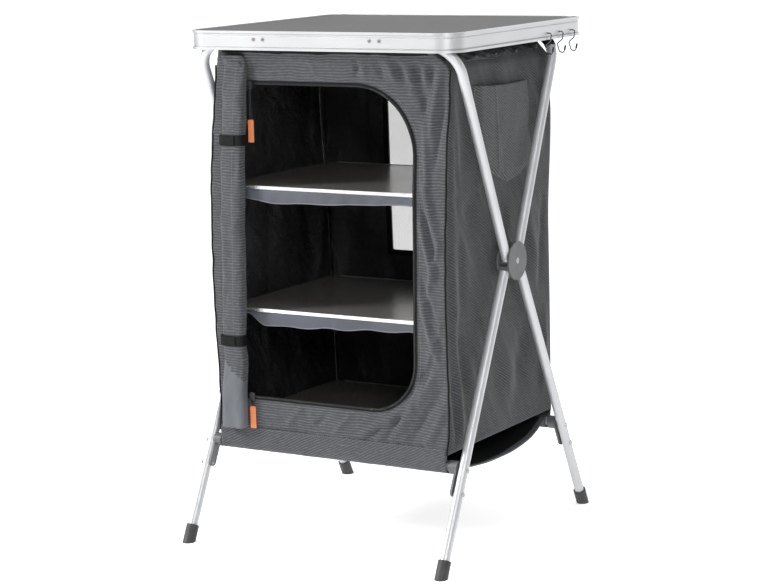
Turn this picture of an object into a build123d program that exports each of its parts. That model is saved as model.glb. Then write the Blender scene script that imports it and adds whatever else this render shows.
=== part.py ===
from build123d import *
import os
from math import atan2, cos, degrees, sin, tan

os.makedirs("parts", exist_ok=True)

# Folding camping cupboard: a fabric bag with three shelves hangs between two crossed tube frames,
# and a lift-off tabletop clips on to the frames' top bars.
# X is the width, Y runs from the open front (-Y) to the rear, Z is up from the floor.

# Tabletop
table_width = 600.0
table_depth = 548.0
table_height = 1005.0
rim_height = 36.5
rim_corner_radius = 44.0
rim_wall = 2.0
rim_lip_proud = 3.0
rim_lip_height = 4.5
rim_ledge_width = 4.0
rim_ledge_thickness = 2.2
board_thickness = 6.0
board_recess = 1.5
board_edge_gap = 0.3

# Round tube frames
tube_radius = 9.5
tube_wall = 1.2
bend_radius = 60.0
leg_inset = 13.5
bar_half_span = 205.0
front_overhang = 28.51523
clip_roof = 8.0
hub_height = 555.0
leg_offset = 44.0
foot_half_span = 300.5
upper_leg_start = 12.0
lower_leg_start = 30.0

# Hubs
disc_radius = 37.3
disc_thickness = 3.7
disc_gap = 0.3
web_width = 16.0
web_length = 8.0
spigot_length = 26.0
spigot_gap = 0.2
boss_radius = 7.0
pin_radius = 4.0
pin_running_gap = 0.05
pin_head_radius = 6.0
pin_head_thickness = 1.1
pin_tail_radius = 9.0
pin_tail_thickness = 2.5

# Feet
foot_radius = 12.5
foot_length = 34.0
foot_sole = 8.0
foot_bore_gap = 0.1

# Brackets and crossbars
crossbar_height = 190.0
crossbar_radius = 8.0
crossbar_wall = 1.2
crossbar_seat = 12.0
plate_thickness = 4.0
plate_width = 20.0
plate_length = 66.0
plate_gap = 0.2
socket_radius = 13.0
socket_depth = 13.0
socket_gap = 0.2
rivet_radius = 2.4
rivet_head_radius = 4.5
rivet_head_height = 1.8
rivet_hole_gap = 0.1
first_rivet_drop = 4.0
second_rivet_drop = 50.0

# Fabric
cloth = 1.2
seam_gap = 0.3
sleeve_gap = 0.3
top_sleeve_cloth = 1.5
hem_sleeve_cloth = 1.9
bag_leg_gap = 15.0
sleeve_end_gap = 55.0
hem_end_gap = 22.0
side_bottom_gap = 13.5
side_top_gap = 2.4
piping_size = 3.0

# Door opening, zip and rolled door
door_side_margin = 68.0
door_bottom = 286.0
door_top = 904.0
door_top_radius = 132.0
door_bottom_radius = 98.0
door_left_radius = 6.0
tape_outside = 8.0
tape_inside = 5.0
tape_thickness = 0.8
tape_gap = 0.2
roll_half_width = 24.0
roll_half_depth = 17.0
roll_bottom = 228.0
roll_top = 950.0
roll_bottom_shift = 20.0
roll_top_shift = 14.0
strap_height = 26.0
strap_thickness = 1.0
strap_gap = 0.3
upper_strap_height = 792.0
lower_strap_height = 397.0
slider_inset = 17.5
slider_width = 12.0
slider_length = 16.0
slider_thickness = 4.0
upper_slider_height = 899.0
lower_slider_height = 289.0
pull_width = 13.0
pull_thickness = 2.4
pull_length = 44.0
pull_cord_radius = 1.2
pull_corner_radius = 1.5
upper_cord_length = 57.0
lower_cord_length = 9.0
eye_radius = 2.0
eye_half_width = 1.5
eye_pin_radius = 0.8
eye_pin_gap = 0.05
eye_drop = 2.6
ear_width = 1.2
ear_gap = 0.4

# Shelves
shelf_side_gap = 14.0
shelf_depth = 398.0
shelf_thickness = 5.0
shelf_corner_radius = 25.0
upper_shelf_top = 703.0
middle_shelf_top = 461.0
lower_shelf_top = 234.0
trim_lip = 1.0
trim_cover = 8.0
shelf_seat_gap = 0.3
sling_margin = 1.5
sling_drop = 22.0
sag_height = 163.0

# Mesh window in the back panel
window_half_width = 105.0
window_bottom = 521.0
window_top = 850.0
mesh_thickness = 0.8
mesh_gap = 0.2

# Side pocket, as (y, z) corners on the right panel
pocket_corners = [(-96.0, 898.0), (132.0, 894.0), (148.0, 721.0), (27.0, 702.0), (-82.0, 744.0)]
pocket_bulge = 9.0
pocket_seam = 2.0
pocket_gap = 0.2

# Tabletop clips and rim rivets
clip_x = 128.75
clip_width = 36.0
clip_bar_gap = 0.3
clip_reach = 13.0
clip_skirt = 8.0
clip_side_wall = 6.0
rim_rivet_spacing = 21.0
rim_rivet_radius = 2.0
rim_rivet_head = 3.6
rim_rivet_head_height = 1.5
rim_rivet_depth = 8.0
rim_rivet_height = 20.5
rim_part_gap = 0.2

# Hooks
hook_wire_radius = 1.25
hook_hole_radius = 2.2
hook_hole_rise = 12.5
hook_rows = [("hook_front", 144.0), ("hook_middle", 195.5), ("hook_rear", 247.0)]
hook_tip_radius = 1.9
hook_tip_length = 9.0
hook_drop = 24.0
hook_length = 41.0
hook_tip_rise = 14.0

# Places that follow from the sizes above
leg_x = table_width / 2 - leg_inset
board_top = table_height - board_recess
board_bottom = board_top - board_thickness
rim_bottom = table_height - rim_height
bar_height = board_bottom - clip_roof - tube_radius
upper_angle = atan2(bar_half_span, bar_height - hub_height + leg_offset)
lower_angle = atan2(foot_half_span, hub_height + leg_offset)
table_front = -bar_half_span - front_overhang
table_y = table_front + table_depth / 2
crossbar_y = (hub_height + leg_offset - crossbar_height) * tan(lower_angle)
bar_sleeve_radius = tube_radius + sleeve_gap + top_sleeve_cloth
hem_sleeve_radius = crossbar_radius + sleeve_gap + hem_sleeve_cloth
bag_bottom = crossbar_height + hem_sleeve_radius + seam_gap
bag_top = bar_height - bar_sleeve_radius - seam_gap
leg_inner_x = leg_x - tube_radius
bag_half_width = leg_inner_x - bag_leg_gap
door_half_width = bag_half_width - door_side_margin
shelf_width = 2 * (bag_half_width - shelf_side_gap)
sleeve_half_length = leg_inner_x - sleeve_end_gap
hem_half_length = leg_inner_x - hem_end_gap
side_bottom_height = bag_bottom + side_bottom_gap
side_top_height = bag_top - side_top_gap
slider_x = -door_half_width + slider_inset
hook_height = rim_bottom + hook_hole_rise

# The bag's outline at each height: height, half depth and half width
outline = [
    (bag_bottom, crossbar_y + cloth / 2, bag_half_width - 6.0),
    (212.0, 219.0, bag_half_width - 5.0),
    (450.0, 213.0, bag_half_width - 2.0),
    (700.0, 206.0, bag_half_width),
    (935.0, 187.0, bag_half_width - 2.0),
    (bag_top, bar_half_span + cloth / 2, bag_half_width - 24.0),
]


def outline_at(height):
    for (z0, y0, x0), (z1, y1, x1) in zip(outline, outline[1:]):
        if height <= z1:
            part_way = (height - z0) / (z1 - z0)
            return y0 + (y1 - y0) * part_way, x0 + (x1 - x0) * part_way
    return outline[-1][1], outline[-1][2]


def heights_between(low, high):
    return [low] + [row[0] for row in outline if low < row[0] < high] + [high]


def save(piece, name):
    piece.part.label = name
    export_step(piece.part, f"parts/{name}.step")


def upper_point(way, along):
    # a point on an upper leg's axis, measured up from the axis's closest point to the hub
    reach = leg_offset * cos(upper_angle) + along
    return way * reach * sin(upper_angle), hub_height - leg_offset + reach * cos(upper_angle)


def lower_point(way, along):
    # a point on a lower leg's axis, measured down from the axis's closest point to the hub
    reach = leg_offset * cos(lower_angle) + along
    return way * reach * sin(lower_angle), hub_height + leg_offset - reach * cos(lower_angle)


def lower_along(height):
    return (hub_height + leg_offset - height) / cos(lower_angle) - leg_offset * cos(lower_angle)


# Tabletop board
with BuildPart() as table_board:
    with BuildSketch(Plane.XY.offset(board_bottom)):
        with Locations((0, table_y)):
            RectangleRounded(
                table_width - 2 * (rim_lip_proud + rim_wall + board_edge_gap),
                table_depth - 2 * (rim_lip_proud + rim_wall + board_edge_gap),
                rim_corner_radius - rim_lip_proud - rim_wall - board_edge_gap,
            )
    extrude(amount=board_thickness)
save(table_board, "table_board")

# Aluminium rim: an upright web with a proud lip at its top and bottom and a ledge under the board.
# Each ring is given by its bottom, its height, its outer inset and its inner inset.
web_inner = rim_lip_proud + rim_wall
rim_rings = [
    (rim_bottom, rim_height, rim_lip_proud, web_inner),
    (rim_bottom, rim_lip_height, 0.0, web_inner),
    (table_height - rim_lip_height, rim_lip_height, 0.0, web_inner),
    (board_bottom - rim_ledge_thickness, rim_ledge_thickness, rim_lip_proud, web_inner + rim_ledge_width),
]
rim_rivet_x = [side * clip_x + step * rim_rivet_spacing / 2 for side in (-1, 1) for step in (-1, 1)]
rim_rivet_z = rim_bottom + rim_rivet_height
with BuildPart() as table_rim:
    for bottom, height, outside, inside in rim_rings:
        with BuildSketch(Plane.XY.offset(bottom)):
            with Locations((0, table_y)):
                RectangleRounded(
                    table_width - 2 * outside,
                    table_depth - 2 * outside,
                    rim_corner_radius - outside,
                )
                RectangleRounded(
                    table_width - 2 * inside,
                    table_depth - 2 * inside,
                    rim_corner_radius - inside,
                    mode=Mode.SUBTRACT,
                )
        extrude(amount=height)
    with BuildSketch(Plane.XZ.offset(-table_front)):
        with Locations(*[(x, rim_rivet_z) for x in rim_rivet_x]):
            Circle(rim_rivet_radius + rivet_hole_gap)
    extrude(amount=-2 * web_inner, mode=Mode.SUBTRACT)
    with BuildSketch(Plane.YZ.offset(table_width / 2)):
        with Locations(*[(y, hook_height) for name, y in hook_rows]):
            Circle(hook_hole_radius)
    extrude(amount=-2 * web_inner, mode=Mode.SUBTRACT)
save(table_rim, "table_rim")

# Front clips: saddles riveted inside the rim, open to the rear so that the bar can slide out
clip_front = table_front + web_inner + rim_part_gap
clip_top = board_bottom - rim_part_gap
clip_bore = tube_radius + clip_bar_gap
with BuildPart() as front_clips:
    for side in (-1, 1):
        with BuildSketch(Plane.YZ.offset(side * clip_x - clip_width / 2)):
            with BuildLine():
                Polyline(
                    (clip_front, bar_height - clip_skirt),
                    (clip_front, board_bottom - rim_ledge_thickness - rim_part_gap),
                    (clip_front + rim_ledge_width, board_bottom - rim_ledge_thickness - rim_part_gap),
                    (clip_front + rim_ledge_width, clip_top),
                    (-bar_half_span + clip_reach, clip_top),
                    (-bar_half_span + clip_reach, bar_height - clip_skirt),
                    close=True,
                )
            make_face()
            with Locations((-bar_half_span, bar_height)):
                Circle(clip_bore, mode=Mode.SUBTRACT)
            with Locations((-bar_half_span - clip_bore, bar_height)):
                Rectangle(
                    2 * clip_bore + clip_reach,
                    2 * clip_skirt,
                    align=(Align.MIN, Align.MAX),
                    mode=Mode.SUBTRACT,
                )
            with Locations((-bar_half_span, bar_height - clip_skirt)):
                Rectangle(
                    2 * clip_reach,
                    clip_skirt + clip_bore,
                    align=(Align.MIN, Align.MIN),
                    mode=Mode.SUBTRACT,
                )
        extrude(amount=clip_width)
    with BuildSketch(Plane.XZ.offset(-clip_front)):
        with Locations(*[(x, rim_rivet_z) for x in rim_rivet_x]):
            Circle(rim_rivet_radius + rivet_hole_gap)
    extrude(amount=-rim_rivet_depth, mode=Mode.SUBTRACT)
save(front_clips, "front_clips")

# Rear clips: saddles under the board that drop over the rear bar
with BuildPart() as rear_clips:
    for side in (-1, 1):
        with BuildSketch(Plane.YZ.offset(side * clip_x - clip_width / 2)):
            with Locations((bar_half_span, bar_height - clip_skirt)):
                Rectangle(
                    2 * (clip_bore + clip_side_wall),
                    clip_top - bar_height + clip_skirt,
                    align=(Align.CENTER, Align.MIN),
                )
            with Locations((bar_half_span, bar_height)):
                Circle(clip_bore, mode=Mode.SUBTRACT)
                Rectangle(
                    2 * clip_bore,
                    2 * clip_skirt,
                    align=(Align.CENTER, Align.MAX),
                    mode=Mode.SUBTRACT,
                )
        extrude(amount=clip_width)
save(rear_clips, "rear_clips")

# Rim rivets, two through the front rim into each front clip
rim_face = table_front + rim_lip_proud
with BuildPart() as rim_rivets:
    with BuildSketch(Plane.XZ.offset(-rim_face)):
        with Locations(*[(x, rim_rivet_z) for x in rim_rivet_x]):
            Circle(rim_rivet_head)
    extrude(amount=rim_rivet_head_height, taper=20)
    with BuildSketch(Plane.XZ.offset(-rim_face)):
        with Locations(*[(x, rim_rivet_z) for x in rim_rivet_x]):
            Circle(rim_rivet_radius)
    extrude(amount=-rim_rivet_depth + rim_part_gap)
save(rim_rivets, "rim_rivets")

# Hooks: bent wire that passes through the rim and hangs below it, with a dipped tip
web_x = table_width / 2 - rim_lip_proud
hook_route = [
    (web_x - 7.0, hook_height - 8.0),
    (web_x - 7.0, hook_height),
    (web_x + 9.0, hook_height),
    (web_x + 6.8, hook_height - hook_hole_rise - rim_wall),
    (web_x - 5.0, hook_height - hook_drop),
    (web_x + 0.5, hook_height - hook_length + 1.0),
    (web_x + 10.0, hook_height - hook_length),
    (web_x + 13.2, hook_height - hook_length + hook_tip_rise),
]
hook_bends = [3.0, 4.0, 5.0, 4.5, 4.5, 4.5]
for name, hook_y in hook_rows:
    hook_plane = Plane.XZ.offset(-hook_y)
    with BuildPart() as hook:
        with BuildLine(hook_plane) as wire:
            FilletPolyline(*hook_route, radius=hook_bends)
        with BuildSketch(Plane(origin=wire.line @ 0, z_dir=wire.line % 0)):
            Circle(hook_wire_radius)
        sweep(path=wire.line)
        with BuildSketch(Plane(origin=wire.line @ 1, z_dir=-(wire.line % 1))):
            Circle(hook_tip_radius)
        extrude(amount=hook_tip_length)
    save(hook, name)

# Frame A has its top bar in front and its feet at the rear, frame B the other way round
foot_along = lower_along(foot_sole)
for frame, upper_way, lower_way in (("a", -1, 1), ("b", 1, -1)):
    low_y, low_z = upper_point(upper_way, upper_leg_start)
    bar_y = upper_way * bar_half_span
    with BuildPart() as upper_tube:
        with BuildLine() as route:
            FilletPolyline(
                (-leg_x, low_y, low_z),
                (-leg_x, bar_y, bar_height),
                (leg_x, bar_y, bar_height),
                (leg_x, low_y, low_z),
                radius=bend_radius,
            )
        with BuildSketch(Plane(origin=route.line @ 0, z_dir=route.line % 0)):
            Circle(tube_radius)
            Circle(tube_radius - tube_wall, mode=Mode.SUBTRACT)
        sweep(path=route.line)
    save(upper_tube, f"frame_{frame}_upper")

    foot_end = "rear" if lower_way > 0 else "front"
    top_y, top_z = lower_point(lower_way, lower_leg_start)
    down = Vector(0, lower_way * sin(lower_angle), -cos(lower_angle))
    rivet_spots = [
        lower_point(lower_way, lower_along(crossbar_height) + drop)
        for drop in (first_rivet_drop, second_rivet_drop)
    ]
    for side, way_x in (("left", -1), ("right", 1)):
        with BuildPart() as leg:
            with BuildSketch(Plane(origin=(way_x * leg_x, top_y, top_z), z_dir=down)):
                Circle(tube_radius)
                Circle(tube_radius - tube_wall, mode=Mode.SUBTRACT)
            extrude(amount=foot_along - lower_leg_start)
            with BuildSketch(Plane.YZ.offset(way_x * leg_x)):
                with Locations(*rivet_spots):
                    Circle(rivet_radius + rivet_hole_gap)
            extrude(amount=2 * tube_radius, both=True, mode=Mode.SUBTRACT)
        save(leg, f"frame_{frame}_leg_{side}")

        # foot cap, with its sole cut level with the floor
        cap_y, cap_z = lower_point(lower_way, foot_along - foot_length + foot_sole)
        with BuildPart() as foot:
            with BuildSketch(Plane(origin=(way_x * leg_x, cap_y, cap_z), z_dir=down)):
                Circle(foot_radius)
            extrude(amount=foot_length + foot_radius)
            with BuildSketch(Plane(origin=(way_x * leg_x, cap_y, cap_z), z_dir=down)):
                Circle(tube_radius + foot_bore_gap)
            extrude(amount=foot_length - foot_sole + foot_bore_gap, mode=Mode.SUBTRACT)
            split(bisect_by=Plane.XY, keep=Keep.TOP)
        save(foot, f"foot_{foot_end}_{side}")

        # bracket: a plate on the leg's inner side with a socket for the crossbar
        plate_x = way_x * (leg_x - tube_radius - plate_gap)
        plate_y, plate_z = lower_point(lower_way, lower_along(crossbar_height) + plate_length / 2 - plate_width / 2)
        with BuildPart() as bracket:
            with BuildSketch(Plane.YZ.offset(plate_x)):
                with Locations((plate_y, plate_z)):
                    SlotOverall(
                        plate_length,
                        plate_width,
                        rotation=-lower_way * (90 - degrees(lower_angle)),
                    )
            extrude(amount=-way_x * plate_thickness)
            with BuildSketch(Plane.YZ.offset(plate_x)):
                with Locations((lower_way * crossbar_y, crossbar_height)):
                    Circle(socket_radius)
            extrude(amount=-way_x * (plate_thickness + socket_depth))
            with BuildSketch(Plane.YZ.offset(plate_x - way_x * (plate_thickness + socket_depth))):
                with Locations((lower_way * crossbar_y, crossbar_height)):
                    Circle(crossbar_radius + socket_gap)
            extrude(amount=way_x * (crossbar_seat + socket_gap), mode=Mode.SUBTRACT)
            with BuildSketch(Plane.YZ.offset(plate_x)):
                with Locations(*rivet_spots):
                    Circle(rivet_radius + rivet_hole_gap)
            extrude(amount=-way_x * plate_thickness, mode=Mode.SUBTRACT)
        save(bracket, f"bracket_{foot_end}_{side}")

    with BuildPart() as rivets:
        for way_x in (-1, 1):
            head_x = way_x * (leg_x + tube_radius)
            with BuildSketch(Plane.YZ.offset(head_x)):
                with Locations(*rivet_spots):
                    Circle(rivet_head_radius)
            extrude(amount=way_x * rivet_head_height, taper=25)
            with BuildSketch(Plane.YZ.offset(head_x)):
                with Locations(*rivet_spots):
                    Circle(rivet_radius)
            extrude(amount=-way_x * (2 * tube_radius + plate_gap + plate_thickness))
    save(rivets, f"{foot_end}_bracket_rivets")

    # crossbar between the two brackets, and the bag's hem sleeve round it
    crossbar_half = leg_x - tube_radius - plate_gap - plate_thickness - socket_depth + crossbar_seat
    with BuildPart() as crossbar:
        with BuildSketch(Plane.YZ):
            with Locations((lower_way * crossbar_y, crossbar_height)):
                Circle(crossbar_radius)
                Circle(crossbar_radius - crossbar_wall, mode=Mode.SUBTRACT)
        extrude(amount=crossbar_half, both=True)
    save(crossbar, f"crossbar_{foot_end}")

    with BuildPart() as hem_sleeve:
        with BuildSketch(Plane.YZ):
            with Locations((lower_way * crossbar_y, crossbar_height)):
                Circle(hem_sleeve_radius)
                Circle(crossbar_radius + sleeve_gap, mode=Mode.SUBTRACT)
        extrude(amount=hem_half_length, both=True)
    save(hem_sleeve, f"hem_sleeve_{foot_end}")

    # top sleeve in three lengths, which leave the bar bare for the clips
    bar_end = "front" if upper_way < 0 else "rear"
    clip_space = clip_width / 2 + 2.5
    sleeve_runs = [
        (-sleeve_half_length, -clip_x - clip_space),
        (-clip_x + clip_space, clip_x - clip_space),
        (clip_x + clip_space, sleeve_half_length),
    ]
    with BuildPart() as top_sleeve:
        for start, end in sleeve_runs:
            with BuildSketch(Plane.YZ.offset(start)):
                with Locations((bar_y, bar_height)):
                    Circle(bar_sleeve_radius)
                    Circle(tube_radius + sleeve_gap, mode=Mode.SUBTRACT)
            extrude(amount=end - start)
    save(top_sleeve, f"top_sleeve_{bar_end}")

    # hub halves: frame A's lies outside the tubes and frame B's inside
    for side, way_x in (("left", -1), ("right", 1)):
        outward = way_x if frame == "a" else -way_x
        disc_x = way_x * leg_x + outward * (tube_radius + disc_gap)
        upper_spot = upper_point(upper_way, upper_leg_start - web_length / 2)
        lower_spot = lower_point(lower_way, lower_leg_start - web_length / 2)
        up = Vector(0, upper_way * sin(upper_angle), cos(upper_angle))
        with BuildPart() as hub:
            with BuildSketch(Plane.YZ.offset(disc_x)):
                with Locations((0, hub_height)):
                    Circle(disc_radius)
            extrude(amount=outward * disc_thickness)
            with BuildSketch(Plane.YZ.offset(disc_x)):
                with Locations(upper_spot):
                    Rectangle(web_width, web_length, rotation=-upper_way * degrees(upper_angle))
                with Locations(lower_spot):
                    Rectangle(web_width, web_length, rotation=lower_way * degrees(lower_angle))
            extrude(amount=-outward * 2 * tube_radius)
            with BuildSketch(Plane(origin=(way_x * leg_x, *upper_spot), z_dir=up)):
                Circle(tube_radius - tube_wall - spigot_gap)
            extrude(amount=web_length / 2 + spigot_length)
            with BuildSketch(Plane(origin=(way_x * leg_x, *lower_spot), z_dir=down)):
                Circle(tube_radius - tube_wall - spigot_gap)
            extrude(amount=web_length / 2 + spigot_length)
            if frame == "a":
                with BuildSketch(Plane.YZ.offset(disc_x)):
                    with Locations((0, hub_height)):
                        Circle(pin_radius + pin_running_gap)
                extrude(amount=outward * disc_thickness, mode=Mode.SUBTRACT)
                with BuildSketch(Plane.YZ.offset(disc_x + outward * disc_thickness)):
                    with Locations((0, hub_height)):
                        Circle(pin_head_radius + spigot_gap)
                extrude(amount=-outward * (pin_head_thickness + spigot_gap), mode=Mode.SUBTRACT)
            else:
                with BuildSketch(Plane.YZ.offset(disc_x)):
                    with Locations((0, hub_height)):
                        Circle(boss_radius)
                extrude(amount=-outward * 2 * tube_radius)
                with BuildSketch(Plane.YZ.offset(disc_x - outward * 2 * tube_radius)):
                    with Locations((0, hub_height)):
                        Circle(pin_radius + rivet_hole_gap)
                extrude(amount=outward * (2 * tube_radius + disc_thickness), mode=Mode.SUBTRACT)
        save(hub, f"hub_{frame}_{side}")

# Hub pins, one through each pair of hub halves
with BuildPart() as hub_pins:
    for way_x in (-1, 1):
        outer_face = way_x * (leg_x + tube_radius + disc_gap + disc_thickness)
        inner_face = way_x * (leg_x - tube_radius - disc_gap - disc_thickness)
        head_base = outer_face - way_x * pin_head_thickness
        with BuildSketch(Plane.YZ.offset(inner_face)):
            with Locations((0, hub_height)):
                Circle(pin_tail_radius)
        extrude(amount=-way_x * pin_tail_thickness)
        with BuildSketch(Plane.YZ.offset(inner_face)):
            with Locations((0, hub_height)):
                Circle(pin_radius)
        extrude(amount=head_base - inner_face)
        with BuildSketch(Plane.YZ.offset(head_base)):
            with Locations((0, hub_height)):
                Circle(pin_head_radius)
        extrude(amount=way_x * (pin_head_thickness - rivet_hole_gap))
save(hub_pins, "hub_pins")


def front_skin(near, far, low, high, margin):
    # a curved sheet that follows the front of the bag, from near to far in front of its face
    with BuildPart() as skin:
        for height in heights_between(low, high):
            half_depth, half_width = outline_at(height)
            with BuildSketch(Plane.XY.offset(height)):
                with Locations((0, -half_depth - near)):
                    Rectangle(
                        2 * (half_width - margin),
                        far - near,
                        align=(Align.CENTER, Align.MAX),
                    )
        loft(ruled=True)
    return skin.part


def door_outline(grow):
    # the door opening's outline on the front, straight on the left and round on the right
    with BuildSketch(Plane.XZ) as shape:
        with Locations((0, (door_top + door_bottom) / 2)):
            Rectangle(2 * (door_half_width + grow), door_top - door_bottom + 2 * grow)
        fillet(shape.vertices().group_by(Axis.X)[0], door_left_radius)
        fillet(shape.vertices().group_by(Axis.X)[-1].sort_by(Axis.Y)[-1], door_top_radius + grow)
        fillet(shape.vertices().group_by(Axis.X)[-1].sort_by(Axis.Y)[0], door_bottom_radius + grow)
    return shape.sketch


# Front panel with the door opening
with BuildPart() as panel_front:
    add(front_skin(-cloth, 0, bag_bottom, bag_top, 0))
    extrude(door_outline(0), amount=table_depth, mode=Mode.SUBTRACT)
save(panel_front, "panel_front")

# Zip tape along the top, right and bottom of the door opening
tape_front = tape_gap + tape_thickness
with BuildPart() as zip_tape:
    add(front_skin(tape_gap, tape_front, door_bottom - 2 * tape_outside, door_top + 2 * tape_outside, cloth))
    extrude(door_outline(tape_outside), amount=table_depth, mode=Mode.INTERSECT)
    extrude(door_outline(-tape_inside), amount=table_depth, mode=Mode.SUBTRACT)
    with BuildSketch(Plane.XZ):
        with Locations((-door_half_width, (door_top + door_bottom) / 2)):
            Rectangle(3 * tape_outside, door_top - door_bottom)
    extrude(amount=table_depth, mode=Mode.SUBTRACT)
save(zip_tape, "zip_tape")

# Back panel with its window, and the mesh in the window
window_height = window_top - window_bottom
window_z = (window_top + window_bottom) / 2
with BuildPart() as panel_back:
    add(front_skin(-cloth, 0, bag_bottom, bag_top, 0).mirror(Plane.XZ))
    with BuildSketch(Plane.XZ):
        with Locations((0, window_z)):
            Rectangle(2 * window_half_width, window_height)
    extrude(amount=-table_depth, mode=Mode.SUBTRACT)
save(panel_back, "panel_back")

mesh_inset = (cloth - mesh_thickness) / 2
with BuildPart() as window_mesh:
    add(front_skin(-cloth + mesh_inset, -mesh_inset, bag_bottom, bag_top, 0).mirror(Plane.XZ))
    with BuildSketch(Plane.XZ):
        with Locations((0, window_z)):
            Rectangle(2 * (window_half_width - mesh_gap), window_height - 2 * mesh_gap)
    extrude(amount=-table_depth, mode=Mode.INTERSECT)
save(window_mesh, "window_mesh")

# Side panels
for side, way_x in (("left", -1), ("right", 1)):
    with BuildPart() as side_panel:
        for height in heights_between(side_bottom_height, side_top_height):
            half_depth, half_width = outline_at(height)
            with BuildSketch(Plane.XY.offset(height)):
                with Locations((way_x * (half_width - cloth / 2), 0)):
                    Rectangle(cloth, 2 * (half_depth - cloth - seam_gap))
        loft(ruled=True)
    save(side_panel, f"panel_{side}")

# Piping along the two front corners, just outside the front panel's edges
with BuildPart() as corner_piping:
    for way_x in (-1, 1):
        for height in heights_between(side_bottom_height, outline[-2][0]):
            half_depth, half_width = outline_at(height)
            with BuildSketch(Plane.XY.offset(height)):
                with Locations((way_x * (half_width + seam_gap), -half_depth)):
                    Rectangle(
                        piping_size,
                        piping_size,
                        align=(Align.MIN if way_x > 0 else Align.MAX, Align.CENTER),
                    )
        loft(ruled=True)
save(corner_piping, "corner_piping")

# Side pocket: a bulging patch on the right panel, open at its top
pocket_floor = min(z for y, z in pocket_corners)
pocket_mouth = max(z for y, z in pocket_corners)
pocket_face = max(x for z, y, x in outline) + pocket_bulge
with BuildPart() as bag_volume:
    for height in heights_between(pocket_floor - pocket_bulge, side_top_height):
        half_depth, half_width = outline_at(height)
        with BuildSketch(Plane.XY.offset(height)):
            Rectangle(2 * (half_width + pocket_gap), 2 * half_depth)
    loft(ruled=True)
with BuildPart() as side_pocket:
    with BuildSketch(Plane.YZ.offset(pocket_face)):
        with BuildLine():
            Polyline(*pocket_corners, close=True)
        make_face()
    extrude(amount=-2 * pocket_bulge)
    with BuildSketch(Plane.YZ.offset(pocket_face - cloth)) as inside:
        with BuildLine():
            Polyline(*pocket_corners, close=True)
        make_face()
        offset(amount=-pocket_seam, kind=Kind.INTERSECTION)
        mouth_line = inside.vertices().sort_by(Axis.Y)[-2:]
        with BuildLine():
            Polyline(
                (min(v.X for v in mouth_line), window_z),
                (min(v.X for v in mouth_line), pocket_mouth + pocket_bulge),
                (max(v.X for v in mouth_line), pocket_mouth + pocket_bulge),
                (max(v.X for v in mouth_line), window_z),
                close=True,
            )
        make_face()
    extrude(amount=-2 * pocket_bulge, mode=Mode.SUBTRACT)
    add(bag_volume.part, mode=Mode.SUBTRACT)
save(side_pocket, "side_pocket")


def roll_section(height, grow):
    # an oval across the rolled door, which stands in front of the left of the front panel
    part_way = (height - roll_bottom) / (roll_top - roll_bottom)
    centre_x = -door_half_width - roll_bottom_shift - (roll_top_shift - roll_bottom_shift) * part_way
    centre_y = -outline_at(height)[0] - 2 * strap_gap - strap_thickness - roll_half_depth
    with BuildSketch(Plane.XY.offset(height)) as oval:
        with Locations((centre_x, centre_y)):
            Ellipse(roll_half_width + grow, roll_half_depth + grow)
    return oval.sketch


# Rolled-up door and its two straps
with BuildPart() as door_roll:
    loft([roll_section(height, 0) for height in heights_between(roll_bottom, roll_top)], ruled=True)
save(door_roll, "door_roll")

for name, strap_z in (("upper", upper_strap_height), ("lower", lower_strap_height)):
    strap_heights = (strap_z - strap_height / 2, strap_z + strap_height / 2)
    with BuildPart() as strap:
        loft([roll_section(height, strap_gap + strap_thickness) for height in strap_heights], ruled=True)
        loft([roll_section(height, strap_gap) for height in strap_heights], ruled=True, mode=Mode.SUBTRACT)
    save(strap, f"door_strap_{name}")

# Zip sliders, each with a pin between two ears, and the pulls that swing on the pins
pull_rows = (("upper", upper_slider_height, upper_cord_length), ("lower", lower_slider_height, lower_cord_length))
ear_inner = eye_half_width + ear_gap
for name, slider_z, cord_length in pull_rows:
    slider_low = slider_z - slider_length / 2
    slider_back = -outline_at(slider_low)[0] - 2 * tape_gap - tape_thickness
    eye_y = slider_back - slider_thickness / 2
    eye_z = slider_low - eye_drop
    with BuildPart() as slider:
        with BuildSketch(Plane.XZ.offset(-slider_back)):
            with Locations((slider_x, slider_z)):
                RectangleRounded(slider_width, slider_length, slider_width / 4)
        extrude(amount=slider_thickness)
        for way_x in (-1, 1):
            with BuildSketch(Plane.YZ.offset(slider_x + way_x * ear_inner)):
                with Locations((eye_y, eye_z)):
                    Circle(eye_radius)
                    Rectangle(2 * eye_radius, 2 * eye_drop, align=(Align.CENTER, Align.MIN))
            extrude(amount=way_x * ear_width)
        with BuildSketch(Plane.YZ.offset(slider_x)):
            with Locations((eye_y, eye_z)):
                Circle(eye_pin_radius)
        extrude(amount=ear_inner + ear_width, both=True)
    save(slider, f"slider_{name}")
    with BuildPart() as pull:
        with BuildSketch(Plane.XY.offset(eye_z)):
            with Locations((slider_x, eye_y)):
                Circle(pull_cord_radius)
        extrude(amount=-cord_length - pull_length / 4)
        with BuildSketch(Plane.XZ.offset(-eye_y + pull_thickness / 2)):
            with Locations((slider_x, eye_z - cord_length - pull_length / 2)):
                RectangleRounded(pull_width, pull_length, pull_corner_radius)
        extrude(amount=-pull_thickness)
        with BuildSketch(Plane.YZ.offset(slider_x)):
            with Locations((eye_y, eye_z)):
                Circle(eye_radius)
        extrude(amount=eye_half_width, both=True)
        with BuildSketch(Plane.YZ.offset(slider_x)):
            with Locations((eye_y, eye_z)):
                Circle(eye_pin_radius + eye_pin_gap)
        extrude(amount=eye_half_width, both=True, mode=Mode.SUBTRACT)
    save(pull, f"pull_{name}")

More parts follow.
